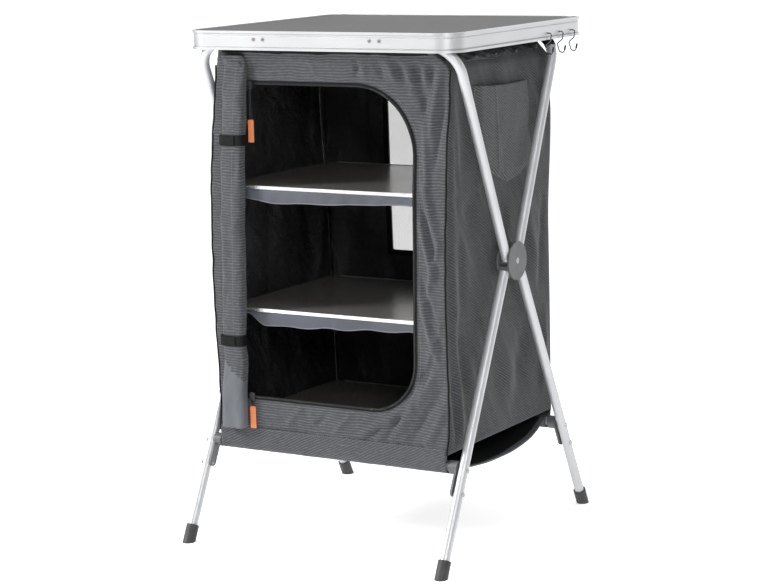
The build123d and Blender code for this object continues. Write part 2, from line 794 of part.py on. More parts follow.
# Shelf boards with a trim strip along the front and rear edges, each on its cloth support
shelf_rows = (("upper", upper_shelf_top), ("middle", middle_shelf_top), ("lower", lower_shelf_top))
trim_half_length = shelf_width / 2 - shelf_corner_radius
for name, top in shelf_rows:
    bottom = top - shelf_thickness
    with BuildPart() as shelf:
        with BuildSketch(Plane.XY.offset(bottom)):
            RectangleRounded(shelf_width, shelf_depth, shelf_corner_radius)
        extrude(amount=shelf_thickness)
    save(shelf, f"shelf_board_{name}")
    with BuildPart() as trim:
        for way_y in (-1, 1):
            with BuildSketch(Plane.YZ.offset(-trim_half_length)):
                with Locations((way_y * (shelf_depth / 2 + trim_lip), bottom - trim_lip)):
                    Rectangle(
                        trim_cover,
                        shelf_thickness + 2 * trim_lip,
                        align=(Align.MIN if way_y < 0 else Align.MAX, Align.MIN),
                    )
                with Locations((0, bottom)):
                    Rectangle(
                        shelf_depth,
                        shelf_thickness,
                        align=(Align.CENTER, Align.MIN),
                        mode=Mode.SUBTRACT,
                    )
            extrude(amount=2 * trim_half_length)
    save(trim, f"trim_{name}")

for name, top in shelf_rows[:2]:
    sheet_top = top - shelf_thickness - trim_lip - shelf_seat_gap
    half_width = outline_at(sheet_top)[1] - cloth - seam_gap
    half_depth = shelf_depth / 2 + trim_lip + sling_margin
    with BuildPart() as sling:
        with BuildSketch(Plane.YZ.offset(-half_width)):
            with Locations((0, sheet_top)):
                Rectangle(2 * (half_depth + cloth), sling_drop, align=(Align.CENTER, Align.MAX))
            with Locations((0, sheet_top - cloth)):
                Rectangle(2 * half_depth, sling_drop, align=(Align.CENTER, Align.MAX), mode=Mode.SUBTRACT)
        extrude(amount=2 * half_width)
    save(sling, f"sling_{name}")

# Bag floor under the lower shelf
floor_top = lower_shelf_top - shelf_thickness - trim_lip - shelf_seat_gap
floor_half_depth, floor_half_width = outline_at(floor_top - cloth)
with BuildPart() as bag_floor:
    with BuildSketch(Plane.XY.offset(floor_top)):
        Rectangle(
            2 * (floor_half_width - cloth - seam_gap),
            2 * (floor_half_depth - cloth - seam_gap),
        )
    extrude(amount=-cloth)
save(bag_floor, "bag_floor")

# Bottom sling: a sheet that sags from the front hem to the rear hem.
# Its height is given as a share of the rise from the sag to the hem, at shares of the half span.
sling_span = crossbar_y - cloth / 2 - seam_gap
sling_rise = bag_bottom + 0.2 - sag_height
sling_shape = [(1.0, 1.0), (0.974, 0.965), (0.93, 0.84), (0.83, 0.583), (0.734, 0.35), (0.587, 0.15), (0.29, 0.035)]
half_curve = [(share * sling_span, sag_height + rise * sling_rise) for share, rise in sling_shape]
sag_curve = [(-y, z) for y, z in half_curve] + [(0, sag_height)] + half_curve[::-1]
with BuildPart() as bottom_sling:
    with BuildSketch(Plane.YZ.offset(-hem_half_length)):
        with BuildLine():
            Polyline(*sag_curve)
            Line(sag_curve[-1], (sag_curve[-1][0], sag_curve[-1][1] + cloth))
            Polyline(*[(y, z + cloth) for y, z in sag_curve[::-1]])
            Line((sag_curve[0][0], sag_curve[0][1] + cloth), sag_curve[0])
        make_face()
    extrude(amount=2 * hem_half_length)
save(bottom_sling, "bottom_sling")
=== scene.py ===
from math import cos, pi, radians, sin

import bmesh
import bpy
import numpy as np
from mathutils import Matrix, Vector


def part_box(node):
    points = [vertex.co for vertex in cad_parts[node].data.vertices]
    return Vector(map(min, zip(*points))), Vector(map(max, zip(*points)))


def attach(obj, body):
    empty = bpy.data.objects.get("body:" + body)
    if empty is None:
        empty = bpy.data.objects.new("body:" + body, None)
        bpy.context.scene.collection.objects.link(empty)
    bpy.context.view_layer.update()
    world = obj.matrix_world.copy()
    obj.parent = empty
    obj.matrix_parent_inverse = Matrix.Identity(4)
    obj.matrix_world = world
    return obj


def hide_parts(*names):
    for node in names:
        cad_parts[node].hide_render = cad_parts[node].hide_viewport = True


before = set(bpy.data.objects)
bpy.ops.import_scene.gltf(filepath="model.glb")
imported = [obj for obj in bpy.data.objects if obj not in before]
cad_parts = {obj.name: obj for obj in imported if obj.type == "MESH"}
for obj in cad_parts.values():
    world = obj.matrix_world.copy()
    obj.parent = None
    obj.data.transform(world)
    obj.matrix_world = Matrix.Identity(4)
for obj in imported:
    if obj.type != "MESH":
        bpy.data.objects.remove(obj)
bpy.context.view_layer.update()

# Sizes in metres, the same as in the part's source
BAG_OUTLINE = [
    # height, half depth and half width
    (0.2005, 0.2058, 0.256),
    (0.212, 0.219, 0.257),
    (0.450, 0.213, 0.260),
    (0.700, 0.206, 0.262),
    (0.935, 0.187, 0.260),
    (0.9684, 0.2056, 0.238),
]
BAG_HEIGHTS, BAG_DEPTHS, BAG_WIDTHS = np.array(BAG_OUTLINE).T
BAG_TOP = BAG_OUTLINE[-1][0]
FRONT_LOW, BACK_LOW = 0.199, 0.201
MIDDLE_HALF = 0.26
CLOTH = 0.0012
DOOR_HALF = 0.194
DOOR_LOW, DOOR_HIGH = 0.286, 0.904
DOOR_LOW_RADIUS, DOOR_HIGH_RADIUS = 0.098, 0.132
WINDOW_HALF = 0.105
WINDOW_LOW, WINDOW_HIGH = 0.521, 0.850
SIDE_LOW, SIDE_HIGH = 0.214, 0.966
BAR_Y, BAR_Z = 0.205, 0.980
BAR_BEND = 0.060
SLEEVE_RADIUS = 0.0107
SLEEVE_SPANS = ((-0.222, -0.14925), (-0.10825, 0.10825), (0.14925, 0.222))
HEM_LENGTH = 0.103
SHELF_SEAMS = (0.697, 0.455)
UPPER_LIFT = (0.716, 0.738)
RIB_SPACING, THREAD_SPACING, NET_PITCH = 0.0055, 0.0017, 0.0034
STITCH_SPACING, STITCH_SIZE = 0.0047, (0.0034, 0.0008, 0.0008)
TOOTH_SPACING, TOOTH_SIZE = 0.0017, (0.0009, 0.0014, 0.0030)


# Camera

def place_camera():
    position = Vector((2.324, -3.8734, 1.2653))
    yaw, pitch, roll = radians(30.831), radians(9.961), radians(-1.417)
    ahead = Vector((-sin(yaw) * cos(pitch), cos(yaw) * cos(pitch), -sin(pitch)))
    right = ahead.cross(Vector((0, 0, 1))).normalized()
    up = right.cross(ahead)
    rolled_right = right * cos(roll) + up * sin(roll)
    rolled_up = up * cos(roll) - right * sin(roll)
    data = bpy.data.cameras.new("camera")
    data.sensor_width = 36.0
    data.sensor_fit = "HORIZONTAL"
    data.lens = 106.13
    camera = bpy.data.objects.new("camera", data)
    bpy.context.scene.collection.objects.link(camera)
    camera.matrix_world = Matrix.Translation(position) @ Matrix(
        (rolled_right, rolled_up, -ahead)
    ).transposed().to_4x4()
    bpy.context.scene.camera = camera


# Shader helpers

class Value:
    # a value in a node tree, which adds and multiplies like a number
    def __init__(self, socket):
        self.socket = socket
        self.tree = socket.id_data

    def __add__(self, other):
        return calc("ADD", self, other)

    def __sub__(self, other):
        return calc("SUBTRACT", self, other)

    def __rsub__(self, other):
        return calc("SUBTRACT", other, self)

    def __mul__(self, other):
        return calc("MULTIPLY", self, other)


def join(socket, value):
    if isinstance(value, Value):
        value.tree.links.new(value.socket, socket)
    else:
        socket.default_value = value


def add_node(tree, kind, inputs=None, **settings):
    node = tree.nodes.new(kind)
    for name, value in settings.items():
        setattr(node, name, value)
    for name, value in (inputs or {}).items():
        join(node.inputs[name], value)
    return node


def calc(operation, *values):
    tree = next(value.tree for value in values if isinstance(value, Value))
    return Value(add_node(tree, "ShaderNodeMath", dict(enumerate(values)), operation=operation).outputs[0])


def wave(phase):
    # a sine between 0 and 1
    return calc("SINE", phase) * 0.5 + 0.5


def blend_colors(factor, first, second):
    node = add_node(factor.tree, "ShaderNodeMix", {"Factor": factor, 6: first, 7: second}, data_type="RGBA")
    return Value(node.outputs[2])


def ramp(value, low, high, start=0.0, end=1.0):
    node = add_node(value.tree, "ShaderNodeMapRange", {"Value": value, 1: low, 2: high, 3: start, 4: end})
    return Value(node.outputs[0])


def noise(vector, scale, detail=3.0, roughness=0.5):
    inputs = {"Vector": vector, "Scale": scale, "Detail": detail, "Roughness": roughness}
    return Value(add_node(vector.tree, "ShaderNodeTexNoise", inputs).outputs["Fac"])


def stretched(vector, scale):
    return Value(add_node(vector.tree, "ShaderNodeMapping", {"Vector": vector, "Scale": scale}).outputs[0])


def split(vector):
    return [Value(socket) for socket in add_node(vector.tree, "ShaderNodeSeparateXYZ", {0: vector}).outputs]


def group_tree(name, inputs, outputs):
    # inputs are names with the values they start with, or None for a vector
    tree = bpy.data.node_groups.new(name, "ShaderNodeTree")
    for label, value in inputs.items():
        kind = "NodeSocketVector" if value is None else "NodeSocketFloat"
        socket = tree.interface.new_socket(label, in_out="INPUT", socket_type=kind)
        if value is not None:
            socket.default_value = value
    for label in outputs:
        tree.interface.new_socket(label, in_out="OUTPUT", socket_type="NodeSocketFloat")
    inside = tree.nodes.new("NodeGroupInput").outputs
    return tree, [Value(inside[label]) for label in inputs], tree.nodes.new("NodeGroupOutput").inputs


def use_group(group, vector, **values):
    inputs = {name.replace("_", " "): value for name, value in values.items()}
    node = add_node(vector.tree, "ShaderNodeGroup", {"Vector": vector, **inputs}, node_tree=group)
    return {socket.name: Value(socket) for socket in node.outputs}


def new_material(name, coordinates="Object"):
    material = bpy.data.materials.new(name)
    material.use_nodes = True
    kind = "ShaderNodeUVMap" if coordinates == "UV" else "ShaderNodeTexCoord"
    return material, Value(add_node(material.node_tree, kind).outputs[coordinates])


def dress(material, color, roughness, height=None, depth=0.0, **others):
    # joins or sets the shader's inputs, the others by their names, and its bump
    shader = material.node_tree.nodes["Principled BSDF"]
    inputs = {"Base Color": color, "Roughness": roughness}
    inputs.update({name.replace("_", " "): value for name, value in others.items()})
    if height is not None:
        relief = add_node(material.node_tree, "ShaderNodeBump", {"Height": height, "Distance": depth})
        inputs["Normal"] = Value(relief.outputs[0])
    for name, value in inputs.items():
        join(shader.inputs[name], value)
    return material


# Effects shared by the materials

def ribbed_weave_group():
    inputs = {"Vector": None, "Slant": 0.0}
    tree, (vector, slant), outside = group_tree("ribbed_weave", inputs, ["Rib", "Height"])
    along, across, _ = split(vector)
    shifted = along * slant + across + noise(vector, 22.0, 4.0) * 0.009
    rib = wave(shifted * (2 * pi / RIB_SPACING))
    bead = wave(along * (2 * pi / THREAD_SPACING))
    grain = noise(vector, 520.0, 2.0, 0.6)
    woven = rib * (bead * 0.35 + 0.65)
    broken = noise(stretched(vector, (0.45, 1.0, 1.0)), 210.0, 3.0, 0.65)
    worn = woven * ramp(broken, 0.32, 0.68, 0.35, 1.15)
    join(outside["Rib"], ramp(grain, 0.3, 0.7) * 0.16 + worn)
    join(outside["Height"], grain * 0.3 + woven)
    return tree


def creases_group():
    tree, (vector, scale), outside = group_tree("creases", {"Vector": None, "Scale": 9.0}, ["Height"])
    drift = add_node(tree, "ShaderNodeTexNoise", {"Vector": vector, "Scale": 5.0, "Detail": 2.0})
    wander = Value(drift.outputs["Color"])
    reach = (0.09, 0.09, 0.09)
    bend = add_node(tree, "ShaderNodeVectorMath", {0: wander, 1: reach, 2: vector}, operation="MULTIPLY_ADD")
    bent = Value(bend.outputs[0])
    facets = add_node(tree, "ShaderNodeTexVoronoi", {"Vector": bent, "Scale": scale}, feature="SMOOTH_F1")
    height = Value(facets.outputs["Distance"]) + noise(bent, 34.0, 4.0, 0.55) * 0.22
    join(outside["Height"], noise(bent, 8.0, 2.0) * 0.9 + height)
    return tree


def mottle_group():
    inputs = {"Vector": None, "Broad Scale": 7.0, "Fine Scale": 260.0}
    tree, (vector, *scales), outside = group_tree("mottle", inputs, ["Broad", "Fine"])
    for label, scale, detail in zip(("Broad", "Fine"), scales, (3.0, 2.0)):
        join(outside[label], ramp(noise(vector, scale, detail), 0.3, 0.7))
    return tree


RIBBED_WEAVE = ribbed_weave_group()
CREASES = creases_group()
MOTTLE = mottle_group()


# Materials

def ribbed_cloth(name, dark, light, slant=0.0):
    material, vector = new_material(name, "UV")
    weave = use_group(RIBBED_WEAVE, vector, Slant=slant)
    mottle = use_group(MOTTLE, vector)
    color = blend_colors(mottle["Broad"] * 0.14 + weave["Rib"], dark, light)
    return dress(material, color, ramp(mottle["Fine"], 0.0, 1.0, 0.79, 0.93), weave["Height"], 0.0005,
                 Specular_IOR_Level=0.3, Sheen_Weight=0.12)


def coated_cloth(name, color, roughness, crease_depth, scale=9.0):
    material, vector = new_material(name, "UV")
    creases = use_group(CREASES, vector, Scale=scale)
    mottle = use_group(MOTTLE, vector, Fine_Scale=420.0)
    lighter = (*(min(1.0, channel * 1.7) for channel in color[:3]), 1.0)
    rough = ramp(mottle["Fine"], 0.0, 1.0, roughness, roughness + 0.12)
    height = mottle["Fine"] * 0.03 + creases["Height"]
    return dress(material, blend_colors(mottle["Broad"], color, lighter), rough, height, crease_depth)


def webbing(name, dark, light, spacing):
    material, vector = new_material(name)
    rib = wave(split(vector)[2] * (2 * pi / spacing))
    grain = noise(vector, 700.0, 2.0)
    return dress(material, blend_colors(rib * grain, dark, light), ramp(grain, 0.3, 0.7, 0.65, 0.85),
                 grain * 0.4 + rib, 0.0003, Specular_IOR_Level=0.22)


def satin_metal(name, dark, light, roughness, stretch=(1.0, 1.0, 1.0), metallic=0.9):
    material, vector = new_material(name)
    grain = noise(stretched(vector, stretch), 300.0, 4.0, 0.6)
    mottle = use_group(MOTTLE, vector, Broad_Scale=11.0)
    rough = ramp(grain, 0.3, 0.7, roughness - 0.05, roughness + 0.08)
    color = blend_colors(mottle["Broad"], dark, light)
    return dress(material, color, rough, grain, 0.00008, Metallic=metallic)


def extruded_rim():
    # aluminium edging with fine drawn grooves along it, with painted shade in the grooves
    material, vector = new_material("rim_aluminium")
    height = split(vector)[2]
    near = [ramp(calc("ABSOLUTE", height - level), 0.0, 0.0007, 1.0, 0.0) for level in (0.9742, 0.9963)]
    grooves = calc("MAXIMUM", *near)
    grain = noise(stretched(vector, (2.0, 2.0, 60.0)), 60.0, 4.0)
    mottle = use_group(MOTTLE, vector, Broad_Scale=5.0)
    bright = blend_colors(mottle["Broad"], (0.56, 0.57, 0.58, 1), (0.62, 0.63, 0.64, 1))
    # the darker grey in the grooves is painted shade, not a colour of the aluminium
    color = blend_colors(grooves, bright, (0.30, 0.31, 0.33, 1))
    return dress(material, color, ramp(grain, 0.3, 0.7, 0.34, 0.46), grain * 0.1 + (1.0 - grooves), 0.0004,
                 Metallic=0.75)


def laminate(name, dark, light, roughness, grain_stretch, depth, gloss):
    material, vector = new_material(name)
    grain = noise(stretched(vector, grain_stretch), 420.0, 5.0, 0.6)
    mottle = use_group(MOTTLE, vector, Broad_Scale=4.0, Fine_Scale=900.0)
    color = blend_colors(mottle["Broad"] * 0.25 + grain * 0.75, dark, light)
    rough = ramp(grain, 0.3, 0.7, roughness - 0.05, roughness + 0.07)
    return dress(material, color, rough, mottle["Fine"], depth, Specular_IOR_Level=gloss)


def moulded(name, dark, light, roughness):
    material, vector = new_material(name)
    mottle = use_group(MOTTLE, vector, Broad_Scale=30.0, Fine_Scale=1300.0)
    rough = ramp(mottle["Fine"], 0.0, 1.0, roughness - 0.05, roughness + 0.08)
    return dress(material, blend_colors(mottle["Broad"], dark, light), rough, mottle["Fine"], 0.00012)


def netting():
    # diamond net with open holes
    material, vector = new_material("window_netting", "UV")
    across, up, _ = split(vector)
    runs = [calc("ABSOLUTE", calc("SINE", (up * way + across) * (pi / NET_PITCH))) for way in (1.0, -1.0)]
    threads = calc("MINIMUM", *runs)
    tone = blend_colors(noise(vector, 30.0), (0.50, 0.51, 0.53, 1), (0.66, 0.67, 0.68, 1))
    return dress(material, tone, ramp(threads, 0.0, 0.4, 0.7, 0.9), 1.0 - threads, 0.0003,
                 Alpha=ramp(threads, 0.36, 0.46, 1.0, 0.0))


def hook_wire():
    # bright wire with a dipped black tip
    material, vector = new_material("hook_wire")
    across, _, up = split(vector)
    tip = ramp(across, 0.3060, 0.3066) * ramp(up, 0.9595, 0.9590) * ramp(up, 0.9440, 0.9448)
    return dress(material, blend_colors(tip, (0.14, 0.14, 0.15, 1), (0.004, 0.004, 0.004, 1)),
                 ramp(noise(vector, 900.0), 0.3, 0.7, 0.18, 0.3), Metallic=1.0 - tip)


def zip_pull(name, tab_top):
    # orange tab below a black cord
    material, vector = new_material(name)
    up = split(vector)[2]
    grain = noise(vector, 600.0)
    orange = blend_colors(grain, (0.74, 0.20, 0.07, 1), (0.90, 0.31, 0.13, 1))
    tab = ramp(up, tab_top + 0.0002, tab_top - 0.0002)
    weave = calc("SINE", up * (2 * pi / 0.0016))
    color = blend_colors(tab, (0.014, 0.014, 0.015, 1), orange)
    return dress(material, color, ramp(grain, 0.3, 0.7, 0.5, 0.68), weave * 0.4 + grain, 0.00025)


CHARCOAL_DARK = (0.031, 0.032, 0.035, 1)
CHARCOAL_LIGHT = (0.108, 0.113, 0.123, 1)
FRONT_CLOTH = ribbed_cloth("front_ribbed_cloth", CHARCOAL_DARK, CHARCOAL_LIGHT)
# the sides wear the front's ribbed cloth in darker colours: painted shade for the less lit sides
SHADED_SIDE_CLOTH = ribbed_cloth("side_ribbed_cloth_painted_shade", (0.018, 0.019, 0.021, 1), (0.073, 0.077, 0.084, 1), slant=0.6)
HEM_CLOTH = ribbed_cloth("hem_ribbed_cloth", CHARCOAL_DARK, CHARCOAL_LIGHT, slant=-0.5)
POCKET_CLOTH = ribbed_cloth("pocket_ribbed_cloth", (0.026, 0.027, 0.029, 1), (0.112, 0.116, 0.120, 1),
                            slant=0.6)
SMOOTH_GREY = coated_cloth("smooth_grey_cloth", (0.075, 0.082, 0.09, 1), 0.62, 0.0012, 14.0)
BLACK_LINING = coated_cloth("black_lining", (0.017, 0.017, 0.018, 1), 0.27, 0.034, 5.5)
BLACK_FLOOR = coated_cloth("black_floor_cloth", (0.008, 0.008, 0.009, 1), 0.5, 0.002)
SLING_CLOTH = coated_cloth("slate_sling_cloth", (0.046, 0.050, 0.062, 1), 0.55, 0.002, 16.0)
SLING_EDGE = coated_cloth("light_sling_edge", (0.105, 0.11, 0.127, 1), 0.55, 0.0008, 16.0)
DARK_BAND = coated_cloth("dark_band_cloth", (0.024, 0.025, 0.028, 1), 0.6, 0.0025, 20.0)
BLACK_BINDING = webbing("black_binding", (0.002, 0.002, 0.002, 1), (0.012, 0.012, 0.013, 1), 0.0018)
STRAP_WEBBING = webbing("strap_webbing", (0.0015, 0.0015, 0.002, 1), (0.010, 0.010, 0.012, 1), 0.0022)
THREAD = webbing("grey_thread", (0.16, 0.165, 0.17, 1), (0.33, 0.34, 0.35, 1), 0.0008)
TUBE_METAL = satin_metal("satin_tube", (0.53, 0.54, 0.56, 1), (0.60, 0.61, 0.63, 1), 0.40, metallic=0.45)
TRIM_METAL = satin_metal("shelf_trim_metal", (0.78, 0.79, 0.80, 1), (0.90, 0.90, 0.90, 1), 0.24,
                         stretch=(1, 60, 60))
# rivets and pins are painted darker than their bare metal: painted shade for the dark ring round each head
RIVET_METAL_PAINTED_SHADE = satin_metal("rivet_metal_painted_shade", (0.30, 0.31, 0.32, 1), (0.46, 0.47, 0.48, 1), 0.25)
RIM_METAL = extruded_rim()
TABLE_TOP = laminate("grey_laminate", (0.074, 0.074, 0.076, 1), (0.115, 0.115, 0.117, 1), 0.55, (1, 1, 1),
                     0.00006, gloss=0.15)
SHELF_TOP = laminate("charcoal_laminate", (0.125, 0.117, 0.111, 1), (0.180, 0.169, 0.160, 1), 0.24, (1, 9, 1),
                     0.00002, gloss=0.9)
SHELF_BAND = moulded("pale_edge_band", (0.38, 0.38, 0.38, 1), (0.52, 0.52, 0.52, 1), 0.4)
HUB_PLASTIC = moulded("grey_moulded_plastic", (0.085, 0.087, 0.09, 1), (0.12, 0.122, 0.126, 1), 0.42)
FOOT_PLASTIC = moulded("dark_foot_plastic", (0.026, 0.026, 0.028, 1), (0.045, 0.045, 0.047, 1), 0.5)
BLACK_GLOSS = moulded("black_slider_metal", (0.012, 0.012, 0.013, 1), (0.03, 0.03, 0.03, 1), 0.25)
NETTING = netting()
HOOK_WIRE = hook_wire()


# Finishes of the nodes that show as they are

CORNERS = [f"{end}_{side}" for end in ("front", "rear") for side in ("left", "right")]
FRAME_SIDES = [(name, side) for name in "ab" for side in ("left", "right")]
LEVELS = ("upper", "middle", "lower")
NODE_FINISHES = [
    (TABLE_TOP, ["table_board"]),
    (RIM_METAL, ["table_rim"]),
    (TUBE_METAL, ["frame_a_upper", "frame_b_upper", "crossbar_front", "crossbar_rear"]),
    (TUBE_METAL, [f"frame_{name}_leg_{side}" for name, side in FRAME_SIDES]),
    (HUB_PLASTIC, ["front_clips", "rear_clips", *(f"bracket_{corner}" for corner in CORNERS)]),
    (HUB_PLASTIC, [f"hub_{name}_{side}" for name, side in FRAME_SIDES]),
    (RIVET_METAL_PAINTED_SHADE, ["rim_rivets", "front_bracket_rivets", "rear_bracket_rivets", "hub_pins"]),
    (FOOT_PLASTIC, [f"foot_{corner}" for corner in CORNERS]),
    (HOOK_WIRE, ["hook_front", "hook_middle", "hook_rear"]),
    (BLACK_GLOSS, ["slider_upper", "slider_lower"]),
    (SHELF_TOP, [f"shelf_board_{level}" for level in LEVELS]),
    (TRIM_METAL, [f"trim_{level}" for level in LEVELS]),
]


def finish_nodes():
    for material, names in NODE_FINISHES:
        for name in names:
            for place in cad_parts[name].material_slots:
                place.material = material


# Shape helpers

def bag_at(height):
    # half depth and half width of the bag at a height
    return np.interp(height, BAG_HEIGHTS, BAG_DEPTHS), np.interp(height, BAG_HEIGHTS, BAG_WIDTHS)


def bag_rear(height):
    # the back hangs straight from the rear bar, so it leans in less than the front
    return np.interp(height, BAG_HEIGHTS, np.where(BAG_HEIGHTS == 0.935, 0.2030, BAG_DEPTHS))


def rear_flare(height):
    # the cloth is pulled outward at the rear, below the table
    return 0.0105 * eased(height - 0.60, 0.24) * (1 - eased(height - 0.925, 0.042))


SWAY_HEIGHTS = (0.20, 0.23, 0.27, 0.34, 0.42, 0.50, 0.58, 0.68, 0.79, 0.87, 0.935, 0.968)
SWAY_REACH = (0.0, 0.002, 0.0045, 0.003, -0.001, -0.0035, -0.0045, -0.0035, -0.0020, 0.0015, 0.0035, 0.0)


def corner_sway(height):
    # the front corners wander a little sideways, as slack cloth does
    line = smooth_line(np.column_stack([SWAY_HEIGHTS, SWAY_REACH]), 200)
    return np.interp(height, line[:, 0], line[:, 1])


def ripple(u, v, seed, wave_u, wave_v, count=7):
    # smooth seeded waves, between about -1 and 1
    draw = np.random.default_rng(seed)
    total = np.zeros(np.broadcast(u, v).shape)
    for step in range(count):
        way_u, way_v = draw.normal(size=2)
        shift = draw.uniform(0, 2 * pi)
        total += np.sin(2 * pi * (way_u * u / wave_u + way_v * v / wave_v) + shift)
    return total / np.sqrt(count * 1.4)


def ridges(u, v, lines, broad):
    # long soft creases, each from one point to another with a width and a height, all in millimetres
    total = np.zeros(np.broadcast(u, v).shape)
    for u0, v0, u1, v1, width, height in 0.001 * np.array(lines):
        run_u, run_v = u1 - u0, v1 - v0
        part_way = ((u - u0) * run_u + (v - v0) * run_v) / (run_u ** 2 + run_v ** 2)
        held = np.clip(part_way, 0, 1)
        away_squared = (u - u0 - held * run_u) ** 2 + (v - v0 - held * run_v) ** 2
        swell = np.sin(pi * np.clip(part_way, 0.02, 0.98)) ** 0.6
        total += height * bell(np.sqrt(away_squared), broad * width) * swell
    return total


def shelf_room(height):
    # at the shelves, and up to where the upper one lifts, the cloth does not dip inward
    near = [eased(np.abs(height - level), 0.035) for level in (*SHELF_SEAMS, *UPPER_LIFT)]
    return 0.12 + 0.88 * np.prod(near, axis=0)


def bell(distance, width):
    return np.exp(-(distance / width) ** 2)


def blunt(values, roundness):
    # turns a circle's sine or cosine into that of a blunt oval
    return np.sign(values) * np.abs(values) ** (2 / roundness)


def full_turn(count):
    return np.linspace(0, 2 * pi, count, endpoint=False)


def lengths_along(points):
    steps = np.linalg.norm(np.diff(points, axis=0), axis=1)
    return np.concatenate([[0], np.cumsum(steps)])


def eased(distance, width):
    share = np.clip(distance / width, 0, 1)
    return share * share * (3 - 2 * share)


def sheet_mesh(name, grids, materials, around=False, skip=None, caps=False):
    # each grid is points, rows x columns x 3, and the same grid laid flat, x 2, which is the UV map in metres
    faces, base = [], 0
    for grid, _ in grids:
        rows, columns = grid.shape[:2]
        for row in range(rows - 1):
            for column in range(columns if around else columns - 1):
                if skip is not None and skip[row, column]:
                    continue
                after = (column + 1) % columns
                corners = ((row, column), (row, after), (row + 1, after), (row + 1, column))
                faces.append([base + r * columns + c for r, c in corners])
        for row in (0, rows - 1) if caps else ():
            faces.append([base + row * columns + column for column in range(columns)])
        base += rows * columns
    mesh = bpy.data.meshes.new(name)
    mesh.from_pydata(np.vstack([grid.reshape(-1, 3) for grid, _ in grids]).tolist(), [], faces)
    layer = mesh.uv_layers.new(name="cloth")
    corners = np.empty(len(mesh.loops), dtype=np.int64)
    mesh.loops.foreach_get("vertex_index", corners)
    spread = np.vstack([flat.reshape(-1, 2) for _, flat in grids])
    layer.data.foreach_set("uv", spread[corners].astype(np.float32).ravel())
    mesh.polygons.foreach_set("use_smooth", [True] * len(mesh.polygons))
    for material in materials:
        mesh.materials.append(material)
    piece = bpy.data.objects.new(name, mesh)
    bpy.context.scene.collection.objects.link(piece)
    return piece


def apply_modifiers(piece):
    graph = bpy.context.evaluated_depsgraph_get()
    finished = bpy.data.meshes.new_from_object(piece.evaluated_get(graph))
    piece.modifiers.clear()
    piece.data = finished


def rework(piece, change):
    work = bmesh.new()
    work.from_mesh(piece.data)
    change(work)
    work.to_mesh(piece.data)
    work.free()


def drop_loose(work):
    # removes points that no face uses
    unused = [vertex for vertex in work.verts if not vertex.link_faces]
    bmesh.ops.delete(work, geom=unused, context="VERTS")


def face_outward(work):
    bmesh.ops.recalc_face_normals(work, faces=work.faces)


def close_rings(work):
    bmesh.ops.remove_doubles(work, verts=work.verts, dist=1e-6)
    face_outward(work)


def settle(piece, body, slot, *nodes):
    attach(piece, body)
    if nodes:
        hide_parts(*nodes)


def make_cloth(name, grids, materials, *nodes, body="cabinet", slot="outer_fabric", thick=CLOTH, offset=-1.0,
               turned=False, patch=None, outward=False, **mesh):
    # grids are pairs of x, y, z and flat u, v; patch tells where the second material goes
    laid = [tuple(np.stack(np.broadcast_arrays(*part), -1) for part in grid) for grid in grids]
    if turned:
        laid = [tuple(part[:, ::-1] for part in grid) for grid in laid]
    piece = sheet_mesh(name, laid, materials, **mesh)
    for face in piece.data.polygons if patch else ():
        face.material_index = int(patch(face.center))
    wall = piece.modifiers.new("wall", "SOLIDIFY")
    wall.thickness = thick
    wall.offset = offset
    wall.material_offset = int(BLACK_LINING in materials[1:])
    rework(piece, drop_loose)
    apply_modifiers(piece)
    if outward:
        rework(piece, face_outward)
    settle(piece, body, slot, *nodes)
    return piece


def evenly(points, count, whole=False):
    # count points spread evenly along a line of points
    points = np.array(points, dtype=float)
    lengths = lengths_along(points)
    spots = np.linspace(0, lengths[-1], count, endpoint=whole)
    return np.column_stack([np.interp(spots, lengths, points[:, axis]) for axis in range(points.shape[1])])


def arc(centre, radius, start, end, count=24):
    turns = np.radians(np.linspace(start, end, count))
    return np.column_stack([centre[0] + radius * np.cos(turns), centre[1] + radius * np.sin(turns)])


def run_along(u, v):
    # length along each row of a grid
    return np.cumsum(np.hypot(np.diff(u, axis=1, prepend=u[:, :1]), np.diff(v, axis=1, prepend=v[:, :1])), 1)


# Front of the bag

FRONT_FOLDS = [
    # the upright post right of the door
    (243, 955, 224, 800, 5, 6), (229, 955, 208, 850, 4.2, -5), (252, 900, 232, 720, 4.5, -5.2),
    (212, 840, 226, 660, 5, 5), (206, 740, 252, 600, 5.5, 6.2), (202, 700, 247, 555, 4.8, -5.6),
    (203, 655, 240, 530, 4.5, 5), (254, 630, 216, 500, 5, 5.2), (206, 550, 250, 420, 5.5, -5.8),
    (203, 510, 244, 385, 5, 6), (252, 470, 214, 360, 5.5, 5.6), (240, 430, 206, 330, 4.5, -5.2),
    # above the door
    (65, 962, 60, 915, 4, -4.6), (76, 960, 82, 915, 3.6, 4.4), (104, 962, 120, 912, 4.2, -5),
    (128, 962, 150, 905, 4.4, 5.6), (146, 962, 172, 890, 4.2, -5.4), (168, 962, 196, 870, 4.5, 5.6),
    (188, 960, 214, 850, 4.2, -5), (208, 960, 222, 880, 4, 5), (-90, 950, 50, 938, 4, 2),
    (-40, 958, -30, 918, 4, 2.4),
    # below the door, gathered to the hem
    (238, 370, 142, 238, 6.2, 6.6), (222, 385, 122, 228, 5.2, -5.8), (204, 340, 98, 226, 5.5, 5.6),
    (250, 345, 176, 226, 5.2, -5.8), (170, 284, 76, 228, 5.2, -4.6), (140, 276, 62, 230, 5, 4.4),
    (56, 280, 4, 228, 5, 3.6), (0, 276, -44, 230, 4.5, -3.4), (-60, 278, -105, 232, 5, 3.4),
    (254, 310, 214, 222, 5, 5.2),
]
HEM_SEAM = 0.226


def front_depth(height):
    depth = bag_at(height)[0]
    return np.where(height < BAG_HEIGHTS[1], 0.2178 + (height - FRONT_LOW) * 0.0923, depth)


